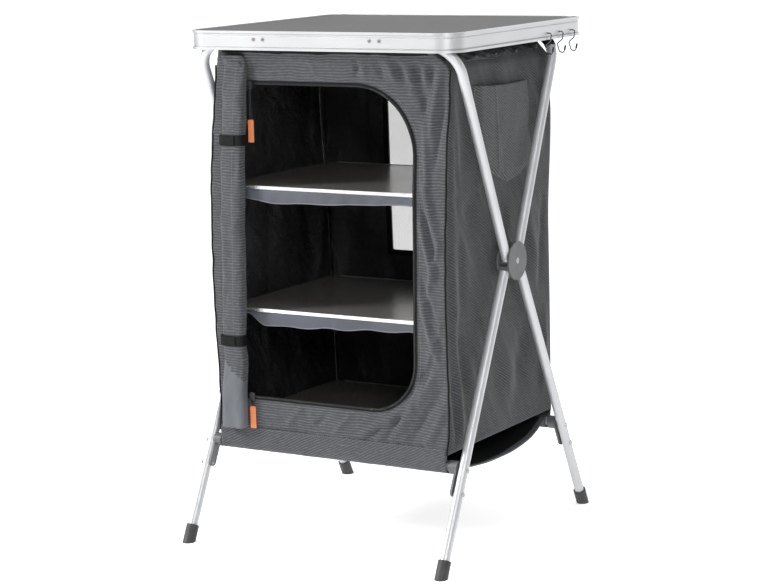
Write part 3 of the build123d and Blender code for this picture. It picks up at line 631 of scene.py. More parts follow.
def door_line(grow, count):
    # points round the door opening, from its top left round the right to its bottom left
    left = -DOOR_HALF
    top = [(left, DOOR_HIGH + grow)]
    upper = arc((DOOR_HALF - DOOR_HIGH_RADIUS, DOOR_HIGH - DOOR_HIGH_RADIUS), DOOR_HIGH_RADIUS + grow, 90, 0)
    lower = arc((DOOR_HALF - DOOR_LOW_RADIUS, DOOR_LOW + DOOR_LOW_RADIUS), DOOR_LOW_RADIUS + grow, 0, -90)
    return evenly([*top, *upper, *lower, (left, DOOR_LOW - grow)], count, whole=True)


def front_swell(x, z):
    # how far the front cloth stands out from its plain surface
    half_width = bag_at(z)[1]
    edge = (0.35 + 0.65 * eased(half_width - np.abs(x), 0.014)) * eased(0.967 - z, 0.014)
    inside_x = np.abs(x) < DOOR_HALF
    inside_z = (z > DOOR_LOW) & (z < DOOR_HIGH)
    gap_x = np.where(inside_z, np.abs(x) - DOOR_HALF, 1.0)
    gap_z = np.where(inside_x, np.maximum(DOOR_LOW - z, z - DOOR_HIGH), 1.0)
    corner = np.hypot(np.maximum(np.abs(x) - DOOR_HALF, 0), np.maximum(DOOR_LOW - z, z - DOOR_HIGH))
    away = np.minimum(np.minimum(np.abs(gap_x), np.abs(gap_z)), np.where(inside_x | inside_z, 1.0, corner))
    door = 0.35 + 0.65 * eased(away, 0.014)
    loose = 0.0012 * ripple(x + 0.3 * z, z - 0.5 * x, 11, 0.11, 0.30) + 0.0006 * ripple(x, z, 12, 0.05, 0.14)
    seam = -0.0012 * bell(z - HEM_SEAM, 0.0022)
    slack = np.clip(1.3 * ridges(x, z, FRONT_FOLDS, 1.3) + loose, -0.007, 0.009)
    slack = np.where(slack < 0, slack * shelf_room(z), slack)
    return slack * edge * door + seam


def make_front():
    low, high = FRONT_LOW, BAG_TOP
    side_heights = np.linspace(low, high, 60)
    right_edge = np.column_stack([bag_at(side_heights)[1], side_heights])
    mid_low, mid_high = DOOR_LOW + DOOR_LOW_RADIUS, DOOR_HIGH - DOOR_HIGH_RADIUS
    bend_low, bend_high = DOOR_HALF - DOOR_LOW_RADIUS, DOOR_HALF - DOOR_HIGH_RADIUS
    below = right_edge[right_edge[:, 1] <= mid_low]
    middle = right_edge[(right_edge[:, 1] >= mid_low) & (right_edge[:, 1] <= mid_high)]
    above = right_edge[right_edge[:, 1] >= mid_high]
    bottom_width, top_width = right_edge[0, 0], right_edge[-1, 0]
    out_low, out_high = (bend_low * 1.2, low), (bend_high * 1.2, high)
    runs = [
        ([(-DOOR_HALF, DOOR_LOW), (bend_low, DOOR_LOW)], [(-bottom_width, low), out_low], 96),
        (arc((bend_low, mid_low), DOOR_LOW_RADIUS, -90, 0), [out_low, *below, middle[0]], 48),
        ([(DOOR_HALF, mid_low), (DOOR_HALF, mid_high)], middle, 120),
        (arc((bend_high, mid_high), DOOR_HIGH_RADIUS, 0, 90), [middle[-1], *above, out_high], 54),
        ([(bend_high, DOOR_HIGH), (-DOOR_HALF, DOOR_HIGH)], [out_high, (-top_width, high)], 90),
        ([(-DOOR_HALF, DOOR_HIGH), (-DOOR_HALF, DOOR_LOW)], right_edge[::-1] * (-1, 1), 150),
    ]
    inner = np.concatenate([evenly(run[0], run[2]) for run in runs])
    outer = np.concatenate([evenly(run[1], run[2]) for run in runs])
    share = np.linspace(0, 1, 27)[:, None, None]
    wide, z = np.moveaxis(outer[None] + (inner - outer)[None] * share, -1, 0)
    y = -front_depth(z) - front_swell(wide, z)
    x = wide + corner_sway(z) * eased(np.abs(wide) - 0.196, 0.062)
    piece = make_cloth("front_cloth", [((x, y, z), (wide, z))], [FRONT_CLOTH, BLACK_LINING], "panel_front",
                       around=True)


# Sides of the bag

SIDE_FOLDS = [
    # rounded edge behind the front piping, and the hollow next to it
    (-186, 945, -182, 580, 10, 5.2), (-148, 940, -112, 600, 15, -6.2), (-165, 860, -150, 660, 6, 3.4),
    (-188, 600, -176, 420, 8, 5.6), (-160, 620, -148, 470, 8, -5), (-192, 470, -160, 230, 7, 5.6),
    (-170, 460, -134, 260, 9, -5.6), (-196, 360, -186, 220, 5, -4), (-150, 445, -50, 340, 10, 3.4),
    (-130, 400, -90, 250, 10, 3.4),
    # broad slack of the middle and rear
    (-40, 440, 70, 260, 15, 3.4), (110, 440, 50, 240, 15, -3.4), (20, 690, 0, 490, 12, -3.6),
    (100, 690, 160, 480, 11, 4), (184, 670, 168, 460, 7, -4), (176, 930, 158, 720, 7, 3),
    (192, 430, 176, 250, 7, 3.8), (150, 440, 176, 320, 6, -3), (120, 935, 180, 860, 7, 3),
    (-60, 940, 80, 918, 6, 2), (-80, 700, 20, 660, 7, -2.6), (30, 700, 130, 690, 6, 2.2),
]


def side_swell(y, z, seed):
    half_depth = np.where(y < 0, bag_at(z)[0], bag_rear(z))
    edge = eased(half_depth - 0.0015 - np.abs(y), 0.022)
    edge = edge * eased(z - SIDE_LOW, 0.012) * eased(0.9655 - z, 0.02)
    loose = 0.0020 * ripple(y, z, seed, 0.16, 0.42) + 0.0007 * ripple(y + 0.4 * z, z, seed + 1, 0.06, 0.16)
    seams = sum(-0.0013 * bell(z - level, 0.006) for level in SHELF_SEAMS)
    slack = np.clip(1.15 * ridges(y, z, SIDE_FOLDS, 1.6) + loose, -0.011, 0.0085)
    slack = np.where(slack < 0, slack * shelf_room(z), slack)
    return (slack + seams) * edge


def make_side(name, way, seed, node):
    share, z = np.meshgrid(np.linspace(-1, 1, 108), np.linspace(SIDE_LOW, SIDE_HIGH, 186))
    half_depth, half_width = bag_at(z)
    y = share * (np.where(share < 0, half_depth, bag_rear(z)) - CLOTH - 0.0003)
    sway = corner_sway(z) * eased(-share - 0.62, 0.38)
    flare = rear_flare(z) * eased(y - 0.03, 0.15)
    x = way * (half_width + flare + side_swell(y, z, seed)) + sway
    piece = make_cloth(name, [((x, y, z), (y, z))], [SHADED_SIDE_CLOTH, BLACK_LINING], node, turned=way < 0)


# Back of the bag, with its window

def make_back():
    window_edge = WINDOW_HALF / MIDDLE_HALF
    columns = np.unique(np.concatenate([np.linspace(-1, 1, 97), [-window_edge, window_edge]]))
    heights = np.unique(np.concatenate([np.linspace(BACK_LOW, BAG_TOP, 150), [WINDOW_LOW, WINDOW_HIGH]]))
    share, z = np.meshgrid(columns, heights)
    half_width = bag_at(z)[1]
    inner_half = 0.8 * MIDDLE_HALF
    outer_part = (np.abs(share) - 0.8) / 0.2
    outer_x = np.sign(share) * (inner_half + outer_part * (half_width - inner_half))
    x = np.where(outer_part > 0, outer_x, share * MIDDLE_HALF)
    edge = eased(half_width - np.abs(x), 0.02) * eased(z - 0.2, 0.02) * eased(0.9665 - z, 0.02)
    x = x + np.sign(x) * rear_flare(z) * eased(np.abs(x) - 0.19, 0.06)
    swell = 0.0024 * ripple(x, z, 31, 0.15, 0.5) + 0.0010 * ripple(x, z, 32, 0.05, 0.2)
    near_window = np.maximum(np.abs(x) - WINDOW_HALF, np.maximum(WINDOW_LOW - z, z - WINDOW_HIGH))
    swell *= 0.15 + 0.85 * eased(near_window, 0.03)
    y = bag_rear(z) + swell * edge
    middle_x = (x[:-1, :-1] + x[1:, 1:]) / 2
    middle_z = (z[:-1, :-1] + z[1:, 1:]) / 2
    hole = (np.abs(middle_x) < WINDOW_HALF) & (middle_z > WINDOW_LOW) & (middle_z < WINDOW_HIGH)
    piece = make_cloth("back_cloth", [((x, y, z), (x, z))], [FRONT_CLOTH, BLACK_LINING], "panel_back",
                       turned=True, skip=hole[:, ::-1])

    # the net is one layer of threads, so it has no wall
    share, z = np.meshgrid(np.linspace(1, -1, 60), np.linspace(WINDOW_LOW - 0.004, WINDOW_HIGH + 0.004, 90))
    x = share * (WINDOW_HALF + 0.004)
    y = bag_rear(z) - 0.0017 + 0.0006 * ripple(x, z, 33, 0.08, 0.2)
    piece = sheet_mesh("window_net", [(np.stack([x, y, z], -1), np.stack([x, z], -1))], [NETTING])
    settle(piece, "cabinet", "mesh", "window_mesh")


# Repeated small shapes along a line

def repeat_tree():
    tree = bpy.data.node_groups.new("repeat_along_line", "GeometryNodeTree")
    kinds = {"Line": "Geometry", "Spacing": "Float", "Size": "Vector", "Square": "Bool", "Finish": "Material"}
    for label, kind in kinds.items():
        tree.interface.new_socket(label, in_out="INPUT", socket_type="NodeSocket" + kind)
    tree.interface.new_socket("Pieces", in_out="OUTPUT", socket_type="NodeSocketGeometry")
    inside = tree.nodes.new("NodeGroupInput").outputs
    line, spacing, size, square, finish = [Value(inside[label]) for label in kinds]

    def first_output(kind, inputs=None, **settings):
        return Value(add_node(tree, kind, inputs, **settings).outputs[0])

    curve = first_output("GeometryNodeMeshToCurve", {0: line})
    spots = first_output("GeometryNodeResampleCurve", {"Curve": curve, "Length": spacing}, mode="LENGTH")
    tangent = first_output("GeometryNodeInputTangent")
    turn = first_output("FunctionNodeAlignRotationToVector", {"Vector": tangent}, axis="X")
    ball = first_output("GeometryNodeMeshUVSphere", {"Segments": 8, "Rings": 5, "Radius": 0.5})
    block = first_output("GeometryNodeMeshCube")
    shapes = {"Switch": square, "False": ball, "True": block}
    shape = first_output("GeometryNodeSwitch", shapes, input_type="GEOMETRY")
    places = {"Points": spots, "Instance": shape, "Rotation": turn, "Scale": size}
    placed = first_output("GeometryNodeInstanceOnPoints", places)
    real = first_output("GeometryNodeRealizeInstances", {0: placed})
    finished = first_output("GeometryNodeSetMaterial", {"Geometry": real, "Material": finish})
    join(tree.nodes.new("NodeGroupOutput").inputs[0], finished)
    return tree


REPEAT = repeat_tree()


def repeat_pieces(name, lines, spacing, size, material, body, slot, square=False):
    # lines are lists of points; size is along the line, out of it and across it
    mesh = bpy.data.meshes.new(name)
    points, edges = [], []
    for line in lines:
        edges += [(len(points) + step, len(points) + step + 1) for step in range(len(line) - 1)]
        points += [tuple(point) for point in line]
    mesh.from_pydata(points, edges, [])
    piece = bpy.data.objects.new(name, mesh)
    bpy.context.scene.collection.objects.link(piece)
    repeat = piece.modifiers.new("repeat", "NODES")
    repeat.node_group = REPEAT
    values = {"Spacing": spacing, "Size": size, "Square": square, "Finish": material}
    for item in REPEAT.interface.items_tree:
        if item.item_type == "SOCKET" and item.name in values:
            repeat[item.identifier] = values[item.name]
    apply_modifiers(piece)
    settle(piece, body, slot)


def stitches(name, lines, body):
    repeat_pieces(name, lines, STITCH_SPACING, STITCH_SIZE, THREAD, body, "outer_fabric")


# Tubes and bands

def smooth_line(points, count):
    # count points along a smooth curve through the given ones
    points = np.array(points, dtype=float)
    ends = np.vstack([2 * points[0] - points[1], points, 2 * points[-1] - points[-2]])
    share = np.linspace(0, 1, 12, endpoint=False)[:, None]
    dense = []
    for step in range(len(points) - 1):
        before, start, end, after = ends[step:step + 4]
        bend = (2 * before - 5 * start + 4 * end - after) * share ** 2
        twist = (3 * start - before - 3 * end + after) * share ** 3
        dense.append(0.5 * (2 * start + (end - before) * share + bend + twist))
    return evenly(np.vstack([*dense, points[-1:]]), count, whole=True)


def tube_grid(path, radius, sides=12, closed=False):
    # rings of points round a path
    path = np.array(path, dtype=float)
    if closed:
        ahead = np.roll(path, -1, axis=0) - np.roll(path, 1, axis=0)
    else:
        ahead = np.gradient(path, axis=0)
    ahead /= np.linalg.norm(ahead, axis=1)[:, None]
    upright = np.abs(ahead[:, 2]).mean() > 0.7
    across = np.cross(ahead, (1.0, 0, 0) if upright else (0, 0, 1.0))
    across /= np.linalg.norm(across, axis=1)[:, None]
    over = np.cross(ahead, across)
    turns = full_turn(sides)
    ring = across[:, None] * np.cos(turns)[None, :, None] + over[:, None] * np.sin(turns)[None, :, None]
    points = path[:, None] + ring * radius
    flat = np.stack(np.broadcast_arrays(turns[None] * radius, lengths_along(path)[:, None]), -1)
    if closed:
        points, flat = np.concatenate([points, points[:1]]), np.concatenate([flat, flat[:1]])
    return points, flat


def tubes(name, paths, radius, material, body, slot, *nodes, sides=12, closed=False):
    grids = [tube_grid(path, radius, sides, closed) for path in paths]
    piece = sheet_mesh(name, grids, [material], around=True, caps=not closed)
    rework(piece, close_rings if closed else face_outward)
    settle(piece, body, slot, *nodes)


# Hems round the crossbars

HEM_PROFILE = [
    (0.2194, 0.2262), (0.2198, 0.214), (0.2194, 0.202), (0.2184, 0.192), (0.2162, 0.184), (0.2110, 0.1785),
    (0.2045, 0.1772), (0.1978, 0.1795), (0.1942, 0.186), (0.1940, 0.1925), (0.1972, 0.1985), (0.2035, 0.2008),
    (0.2100, 0.2014),
]


def make_hem(name, way, body, node):
    profile = smooth_line(HEM_PROFILE, 64)[None]
    lengths = np.linspace(0, HEM_LENGTH, 64)[None]
    x = (np.linspace(-0.2555, 0.2555, 150) * -way)[:, None]
    pucker = 0.0009 * ripple(x + 0.6 * lengths, lengths * 2, 41 + way, 0.05, 0.09)
    pucker = pucker * np.sin(pi * np.clip(lengths / 0.075, 0, 1))
    crease = 0.0014 * bell(x - 0.02, 0.003) * bell(lengths, 0.03)
    depth = profile[..., 0] + np.clip(pucker - crease, -0.0022, 0.0022)
    piece = make_cloth(name, [((x, way * depth, profile[..., 1]), (x, -lengths))], [HEM_CLOTH, BLACK_LINING],
                       node, body=body)
    top = [(value, way * 0.2199, 0.2238) for value in np.linspace(-0.254, 0.254, 60)]
    stitches(name + "_stitches", [top], body)


# Black sleeves round the top bars

def make_top_sleeve(name, way, body, node, seed):
    grids = []
    for start, end in SLEEVE_SPANS:
        x = np.linspace(start, end, int((end - start) / 0.0022))[:, None]
        turns = full_turn(40)[None]
        gather = 0.0005 * ripple(x, np.cos(turns) * 0.01, seed, 0.012, 0.02)
        radius = SLEEVE_RADIUS + np.clip(gather, -0.0007, 0.0008)
        ring = (x, way * BAR_Y + radius * np.cos(turns), BAR_Z + radius * np.sin(turns))
        grids.append((ring, (x, turns * SLEEVE_RADIUS)))
    piece = make_cloth(name, grids, [BLACK_FLOOR], node, body=body, slot="black_fabric", thick=0.0006,
                       around=True)


def make_bend_sleeves():
    # the rear sleeve carries on round the two bends of its bar
    lean = np.arctan2(BAR_Y, 0.469)
    turns = np.radians(np.linspace(0, 62, 40))
    out = 0.2265 + BAR_BEND * np.sin(turns)
    down = BAR_BEND - BAR_BEND * np.cos(turns)
    y, z = BAR_Y - down * sin(lean), BAR_Z - down * cos(lean)
    paths = [np.column_stack([way * out, y, z]) for way in (-1, 1)]
    tubes("rear_bend_sleeves", paths, 0.0108, BLACK_FLOOR, "frame_b", "black_fabric", sides=28)


# Rolled door with its straps

ROLL_LOW, ROLL_HIGH = 0.228, 0.955
ROLL_HALF_WIDE, ROLL_HALF_DEEP = 0.024, 0.0118
ROLL_TURNS, ROLL_TIGHTENING = 3.35, 0.155
ROLL_BLUNTNESS = 3.8
STRAP_HEIGHTS = (0.793, 0.401)
STRAP_HALF = 0.0102


def roll_centre(height):
    return -0.2115 + 0.006 * (height - ROLL_LOW) / (ROLL_HIGH - ROLL_LOW)


def roll_half_depth(height):
    # the roll flattens towards its sewn top
    return ROLL_HALF_DEEP * (0.42 + 0.58 * eased(0.972 - height, 0.115))


def strap_pinch(height, reach):
    return sum(bell(height - level, reach) for level in STRAP_HEIGHTS)


def roll_outline(turns, height, scale, grow=0.0):
    # points round the roll
    puff = 1.0 + 0.07 * (1 - strap_pinch(height, 0.028))
    spread = 0.20 * eased(0.375 - height, 0.10) * (np.cos(turns) < 0) * np.abs(np.cos(turns))
    half_depth = roll_half_depth(height)
    wide = ROLL_HALF_WIDE * scale * (puff + spread) + grow
    deep = half_depth * scale * np.minimum(puff, 1.04) + grow
    centre_y = -bag_at(height)[0] - 0.0020 - half_depth
    x = roll_centre(height) + wide * blunt(np.cos(turns), ROLL_BLUNTNESS)
    return x, centre_y + deep * blunt(np.sin(turns), ROLL_BLUNTNESS)


def make_roll():
    heights, sweep = np.linspace(ROLL_LOW, ROLL_HIGH, 150), np.linspace(0, ROLL_TURNS, 190)
    height, around = np.meshgrid(heights, sweep, indexing="ij")
    turns = radians(42) - 2 * pi * around
    x, y = roll_outline(turns, height, 1.0 - ROLL_TIGHTENING * around)
    free = eased(1.0 - around, 0.2) * (1 - np.clip(strap_pinch(height, 0.022), 0, 1))
    in_front = np.sin(turns) < -0.2
    strip = eased(x - roll_centre(height) - 0.0085, 0.0012) * in_front
    slack = 0.0010 * ripple(x * 3, height, 51, 0.10, 0.12) + 0.0006 * ripple(x * 3, height, 52, 0.05, 0.05)
    y -= free * (slack + 0.0011 * strip) * in_front
    x += 0.0022 * free * ripple(height, height * 0.3, 53, 0.16, 0.5)
    height = height + (0.004 * np.sin(around * 2.4) - 0.0035 * around) * np.where(height > 0.6, 1, -0.7)
    along = run_along(x, y)
    piece = make_cloth("rolled_door", [((x, y, height), (along, height))], [FRONT_CLOTH, SMOOTH_GREY],
                       "door_roll", thick=0.0009, turned=True,
                       patch=lambda spot: spot.z + 0.9 * (spot.x + 0.2110) < 0.345)

    heights = np.linspace(0.395, 0.944, 160)
    seam_y = -bag_at(heights)[0] - 0.0029 - 2.04 * roll_half_depth(heights)
    line = np.column_stack([roll_centre(heights) + 0.0072, seam_y, heights])
    parts = [line[(heights > 0.415) & (heights < 0.774)], line[heights > 0.810]]
    stitches("roll_stitches", parts, "cabinet")


def make_strap(name, level, node):
    rise = np.linspace(-STRAP_HALF, STRAP_HALF, 9)[:, None]
    around = full_turn(120)[None]
    lip = 0.0003 * eased(np.abs(rise) - 0.007, 0.002)
    x, y = roll_outline(around, level, 1.0, 0.0007 + lip)
    make_cloth(name, [((x, y, level + rise), (around * 0.02, level + rise))], [STRAP_WEBBING], node,
               slot="black_fabric", thick=0.0013, offset=1.0, outward=True, around=True)
    height = level + rise[1:-1] * 1.12
    around = np.radians(np.linspace(-172, -78, 40))[None]
    x, y = roll_outline(around, level, 1.0, 0.0024)
    make_cloth(name + "_end", [((x, y, height), (around * 0.02, height))], [STRAP_WEBBING],
               slot="black_fabric", thick=0.0012, offset=1.0, outward=True)


# Zip, corner piping and stitched lines

ZIP_OUT, ZIP_IN = 0.0024, 0.0048


def on_front(line, lift):
    x, z = np.array(line)[:, 0], np.array(line)[:, 1]
    return np.column_stack([x, -front_depth(z) - front_swell(x, z) - lift, z])


def make_zip():
    count = 420
    outer, inner = door_line(ZIP_OUT, count), door_line(-ZIP_IN, count)
    share = np.linspace(0, 1, 14)
    x, z = np.moveaxis(outer[:, None] + (inner - outer)[:, None] * share[None, :, None], -1, 0)
    crown = 0.0008 * bell(share - 0.06, 0.07) + 0.0006 * bell(share - 0.80, 0.12)
    y = -front_depth(z) - front_swell(x, z) - 0.0004 - crown
    lengths = np.linspace(0, 1.32, count)[:, None]
    make_cloth("zip_tape_cloth", [((x, y, z), (lengths, share[None] * 0.013))], [BLACK_BINDING], "zip_tape",
               slot="black_fabric", thick=0.0007, turned=True, outward=True)
    teeth = on_front(door_line(-ZIP_IN / 2, 500), 0.0013)
    repeat_pieces("zip_teeth", [teeth], TOOTH_SPACING, TOOTH_SIZE, BLACK_GLOSS, "cabinet", "black_slider",
                  square=True)
    stitches("door_stitches", [on_front(door_line(0.0092, 500), 0.0002)], "cabinet")


def make_piping():
    paths = []
    heights = np.linspace(SIDE_LOW, 0.935, 150)
    depth, width = bag_at(heights)
    for way in (-1, 1):
        waver = 0.0008 * ripple(heights, heights, 61 + way, 0.06, 0.3)
        reach = way * (width + 0.0014 + waver) + corner_sway(heights)
        paths.append(np.column_stack([reach, -depth + 0.3 * waver, heights]))
    tubes("front_corner_piping", paths, 0.0017, BLACK_BINDING, "cabinet", "black_fabric", "corner_piping",
          sides=10)


# a black strip below the front of the rim: partly the real black binding, partly painted shadow cast by the
# rim
def make_top_binding_and_rim_shadow():
    x, share = np.meshgrid(np.linspace(-0.232, 0.226, 150), np.linspace(0, 1, 9))
    z = BAG_TOP - (0.0072 + 0.0016 * ripple(x, share * 0.01, 58, 0.07, 1.0)) * (1 - share)
    y = -front_depth(z) - front_swell(x, z) - 0.0010 - 0.0004 * np.sin(pi * share)
    make_cloth("top_binding_and_painted_rim_shadow", [((x, y, z), (x, z))], [BLACK_BINDING], slot="black_fabric", thick=0.0007,
               outward=True)


# Side pocket and the band below the table

def make_pocket():
    bottom = np.array([(-0.082, 0.744), (0.027, 0.702), (0.148, 0.721)])
    across, down = (grid[::-1] for grid in np.meshgrid(np.linspace(0, 1, 90), np.linspace(0, 1, 70)))
    low_y, low_z = (np.interp(across, [0, 0.474, 1], column) for column in bottom.T)
    y = (-0.096 + 0.228 * across) * (1 - down) + low_y * down
    z = (0.898 - 0.004 * across - 0.004 * np.sin(pi * across)) * (1 - down) + low_z * down
    loose = eased(np.minimum(across, 1 - across), 0.10) * eased(1 - down, 0.12)
    slack = 0.0009 * ripple(y, z, 71, 0.06, 0.10)
    pleat = 0.0016 * bell(across - 0.325, 0.012)
    bulge = (0.0052 + 0.0022 * (1 - down) + slack + pleat) * loose
    x = bag_at(z)[1] + np.maximum(side_swell(y, z, 21), 0) * (1 - loose) + 0.0010 + bulge
    piece = make_cloth("pocket_cloth", [((x, y, z), (y, z))], [POCKET_CLOTH, BLACK_LINING], "side_pocket",
                       thick=0.0009)
    corners = [(-0.0935, 0.893), (-0.0795, 0.7465), (0.027, 0.7055), (0.1455, 0.7235), (0.1300, 0.890)]
    edge = evenly(corners, 140, whole=True)
    lift = np.maximum(side_swell(edge[:, 0], edge[:, 1], 21), 0) + 0.0014
    pleat_line = evenly([(-0.0222, 0.893), (0.0010, 0.722)], 60, whole=True)
    top = evenly([(-0.088, 0.889), (0.126, 0.885)], 50, whole=True)
    top_lift = 0.0012 + 0.0070 * np.sin(pi * np.linspace(0, 1, 50)) ** 0.45
    lines = [np.column_stack([bag_at(line[:, 1])[1] + out, line])
             for line, out in ((edge, lift), (pleat_line, 0.0098), (top, top_lift))]
    stitches("pocket_stitches", lines, "cabinet")


def make_top_band(name, way, seed):
    y, share = np.meshgrid(np.linspace(-0.186, 0.186, 130), np.linspace(0, 1, 22))
    z = 0.9445 + 0.0225 * share + 0.0012 * ripple(y, share * 0.02, seed, 0.05, 0.1) * (1 - share)
    folds = 0.0016 * ripple(y + 0.8 * z, z * 2, seed + 1, 0.035, 0.05)
    puff = 0.0020 + 0.0030 * np.sin(pi * share) + np.clip(folds, -0.0028, 0.0034) * np.sin(pi * share) ** 0.5
    x = way * (bag_at(z)[1] + puff)
    piece = make_cloth(name, [((x, y, z), (y, z))], [DARK_BAND], thick=0.0008, turned=way < 0)
    snaps = [(way * 0.2600, value, 0.9520) for value in np.linspace(-0.165, 0.165, 5)]
    repeat_pieces(name + "_snaps", [snaps], 0.0825, (0.0085, 0.0050, 0.0085), BLACK_GLOSS, "cabinet",
                  "black_slider")


# Inside of the bag

def make_sling(level, name, seed, left_full, left_width, right_share):
    half_width = float(bag_at(level)[1]) - 0.003
    x = np.linspace(-half_width, half_width, 120)[:, None]
    reach = left_full + (1 - left_full) * eased(x + 0.196, left_width)
    reach *= 1 - (1 - right_share) * eased(x + 0.10, 0.30)
    drop = np.clip((0.0225 + 0.0020 * ripple(x, x, seed, 0.16, 1.0)) * reach, 0.0015, 0.0262)
    down = np.linspace(1, 0, 12)[None]
    bow = np.clip(0.0012 + 0.0009 * ripple(x, down * 0.02, seed + 1, 0.07, 0.05), 0, 0.0026)
    front_y = -0.2022 - bow * np.sin(pi * np.clip(down * 0.62, 0, 1))
    front_z = level - 0.0004 - drop * down
    rear_y = np.minimum(-front_y, bag_rear(front_z) - 0.0045)
    depth = np.broadcast_to(np.linspace(-0.2015, 0.2015, 42)[None], (120, 42))
    sag = 0.0006 * ripple(x, depth, seed + 2, 0.08, 0.08)
    top_z = level - 0.0002 - np.abs(np.clip(sag, -0.0014, 0.0014))
    y = np.concatenate([front_y, depth, rear_y[:, ::-1]], 1)
    z = np.concatenate([front_z, top_z, front_z[:, ::-1]], 1)
    piece = make_cloth(f"{name}_sling_cloth", [((x, y, z), (x, run_along(y, z)))], [SLING_CLOTH],
                       f"sling_{name}", slot="sling_fabric", thick=0.0009)
    edge_line = np.column_stack([x[:, 0], front_y[:, 0], front_z[:, 0]])
    tubes(f"{name}_hem_cord", [edge_line], 0.0013, SLING_EDGE, "cabinet", "sling_fabric", sides=8)


def make_floor_cloth():
    low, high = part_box("bag_floor")
    x, y = np.meshgrid(np.linspace(low[0], high[0], 110), np.linspace(low[1], high[1], 90))
    z = high[2] - 0.0004 - np.abs(0.0007 * ripple(x, y, 91, 0.09, 0.12))
    piece = make_cloth("floor_cloth", [((x, y, z), (x, y))], [BLACK_FLOOR], "bag_floor", slot="black_fabric",
                       thick=0.0010)


SLING_SHAPE = [
    # share of the half span, and share of the rise
    (1.0, 1.0), (0.974, 0.97), (0.93, 0.865), (0.83, 0.64), (0.734, 0.43), (0.587, 0.22), (0.29, 0.048),
]


def make_bottom_sling():
    span, rise, sag = 0.2043, 0.0377, 0.163
    shares, lifts = np.array([*((-share, lift) for share, lift in SLING_SHAPE), (0, 0), *SLING_SHAPE[::-1]]).T
    curve = smooth_line(np.column_stack([shares * span, sag + lifts * rise]), 90)
    edge_x = 0.242
    x = np.unique(np.concatenate([np.linspace(-0.254, 0.254, 100), [-edge_x, edge_x]]))
    wide, y = np.meshgrid(x, curve[:, 0])
    calm = np.sin(pi * np.linspace(0, 1, 90))[:, None]
    z = curve[:, 1:] + np.clip(0.0011 * ripple(wide, y, 95, 0.10, 0.14), -0.0012, 0.0020) * calm
    piece = make_cloth("bottom_sling_cloth", [((wide, y, z), (wide, lengths_along(curve)[:, None]))],
                       [BLACK_FLOOR, SMOOTH_GREY], "bottom_sling", slot="black_fabric", thick=0.0011,
                       patch=lambda spot: abs(spot.x) > edge_x)
    paths = [np.column_stack([np.full(90, way * 0.2545), curve[:, 0], z[:, 0]]) for way in (-1, 1)]
    tubes("bottom_sling_edges", paths, 0.0016, SMOOTH_GREY, "cabinet", "sling_fabric", sides=8)


def make_corner_seams():
    heights = np.linspace(0.232, 0.950, 150)[:, None]
    share = np.linspace(0, 1, 5)[None]
    front_depths, width = bag_at(heights)
    grids = []
    for way in (-1, 1):
        wave_in = 0.0022 * ripple(heights, heights, 101 + way, 0.05, 0.2) * share
        x = way * (width - 0.0022 - 0.0120 * share) + wave_in
        for end, depth in ((-1, front_depths), (1, bag_rear(heights))):
            y = end * (depth - 0.0022 - 0.0075 * share) + wave_in
            grids.append(((x, y, heights), (share * 0.01, heights)))
    make_cloth("inner_corner_seams", grids, [BLACK_LINING], slot="black_fabric", thick=0.0008, outward=True)


def make_window_binding():
    rings = []
    for grow in np.linspace(0.0095, -0.0015, 7):
        half, low, high = WINDOW_HALF + grow, WINDOW_LOW - grow, WINDOW_HIGH + grow
        rings.append(evenly([(half, low), (half, high), (-half, high), (-half, low), (half, low)], 240))
    x, z = np.moveaxis(np.array(rings), -1, 0)
    y = bag_rear(z) + 0.15 * 0.0024 * ripple(x, z, 31, 0.15, 0.5)
    grids = [((x, y + lift, z), (x, z)) for lift in (0.0009, -0.0034)]
    make_cloth("window_binding", grids, [BLACK_BINDING], slot="black_fabric", thick=0.0006, outward=True,
               around=True)


# Zip pulls

TAB_SHAPE = [
    # distance below the tab's top, half width and half depth, in millimetres
    (0, 5.6, 0.6), (0.8, 6.2, 1.1), (3, 6.4, 1.2), (7, 6.5, 1.2), (14, 6.4, 1.05), (24, 6.3, 0.95),
    (34, 6.4, 1.05), (40, 6.5, 1.2), (43.2, 6.4, 1.1), (44, 6.0, 0.6),
]


def make_pull(level, pin_y, pin_z, tab_top):
    node = f"pull_{level}"
    low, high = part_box(node)
    middle_x = (low[0] + high[0]) / 2
    eye_reach = high[2] - pin_z
    turns = full_turn(28)
    ring_radius = eye_reach - 0.0011
    eye = [np.full(28, middle_x), pin_y + ring_radius * np.cos(turns), pin_z + ring_radius * np.sin(turns)]
    grids = [tube_grid(np.column_stack(eye), 0.0011, 10, closed=True)]
    start = pin_z - eye_reach + 0.0012
    spreads = (0, 0.7, 1, 0.8, 0.6)
    drops = (start, start - 0.002, (start + tab_top) / 2, tab_top + 0.001, tab_top - 0.003)
    for way in (-1, 1):
        path = [(middle_x + way * 0.0016 * spread, pin_y, drop) for spread, drop in zip(spreads, drops)]
        grids.append(tube_grid(smooth_line(path, 24), 0.0009, 10))
    levels, halves, depths = 0.001 * np.array(TAB_SHAPE).T
    spots = np.linspace(0, levels[-1], 46)[:, None]
    turns = full_turn(36)[None]
    x = middle_x + np.interp(spots, levels, halves) * blunt(np.cos(turns), 9)
    y = pin_y + np.interp(spots, levels, depths) * blunt(np.sin(turns), 9)
    points = np.stack(np.broadcast_arrays(x, y, tab_top - spots), -1)
    grids.append((points, points[..., ::2]))
    material = zip_pull(f"{level}_pull", tab_top)
    piece = sheet_mesh(f"{level}_zip_pull", grids, [material], around=True, caps=True)
    rework(piece, close_rings)
    settle(piece, node, "orange", node)


# Edge band round each shelf board, and fine raised lines on the table rim

BOARD_RADIUS = 0.0245
RIM_LOW, RIM_HIGH = (-0.2971, -0.2306), (0.2971, 0.3116)
RIM_RADIUS = 0.041
RIM_LINE_LEVELS = (0.9756, 0.9946)


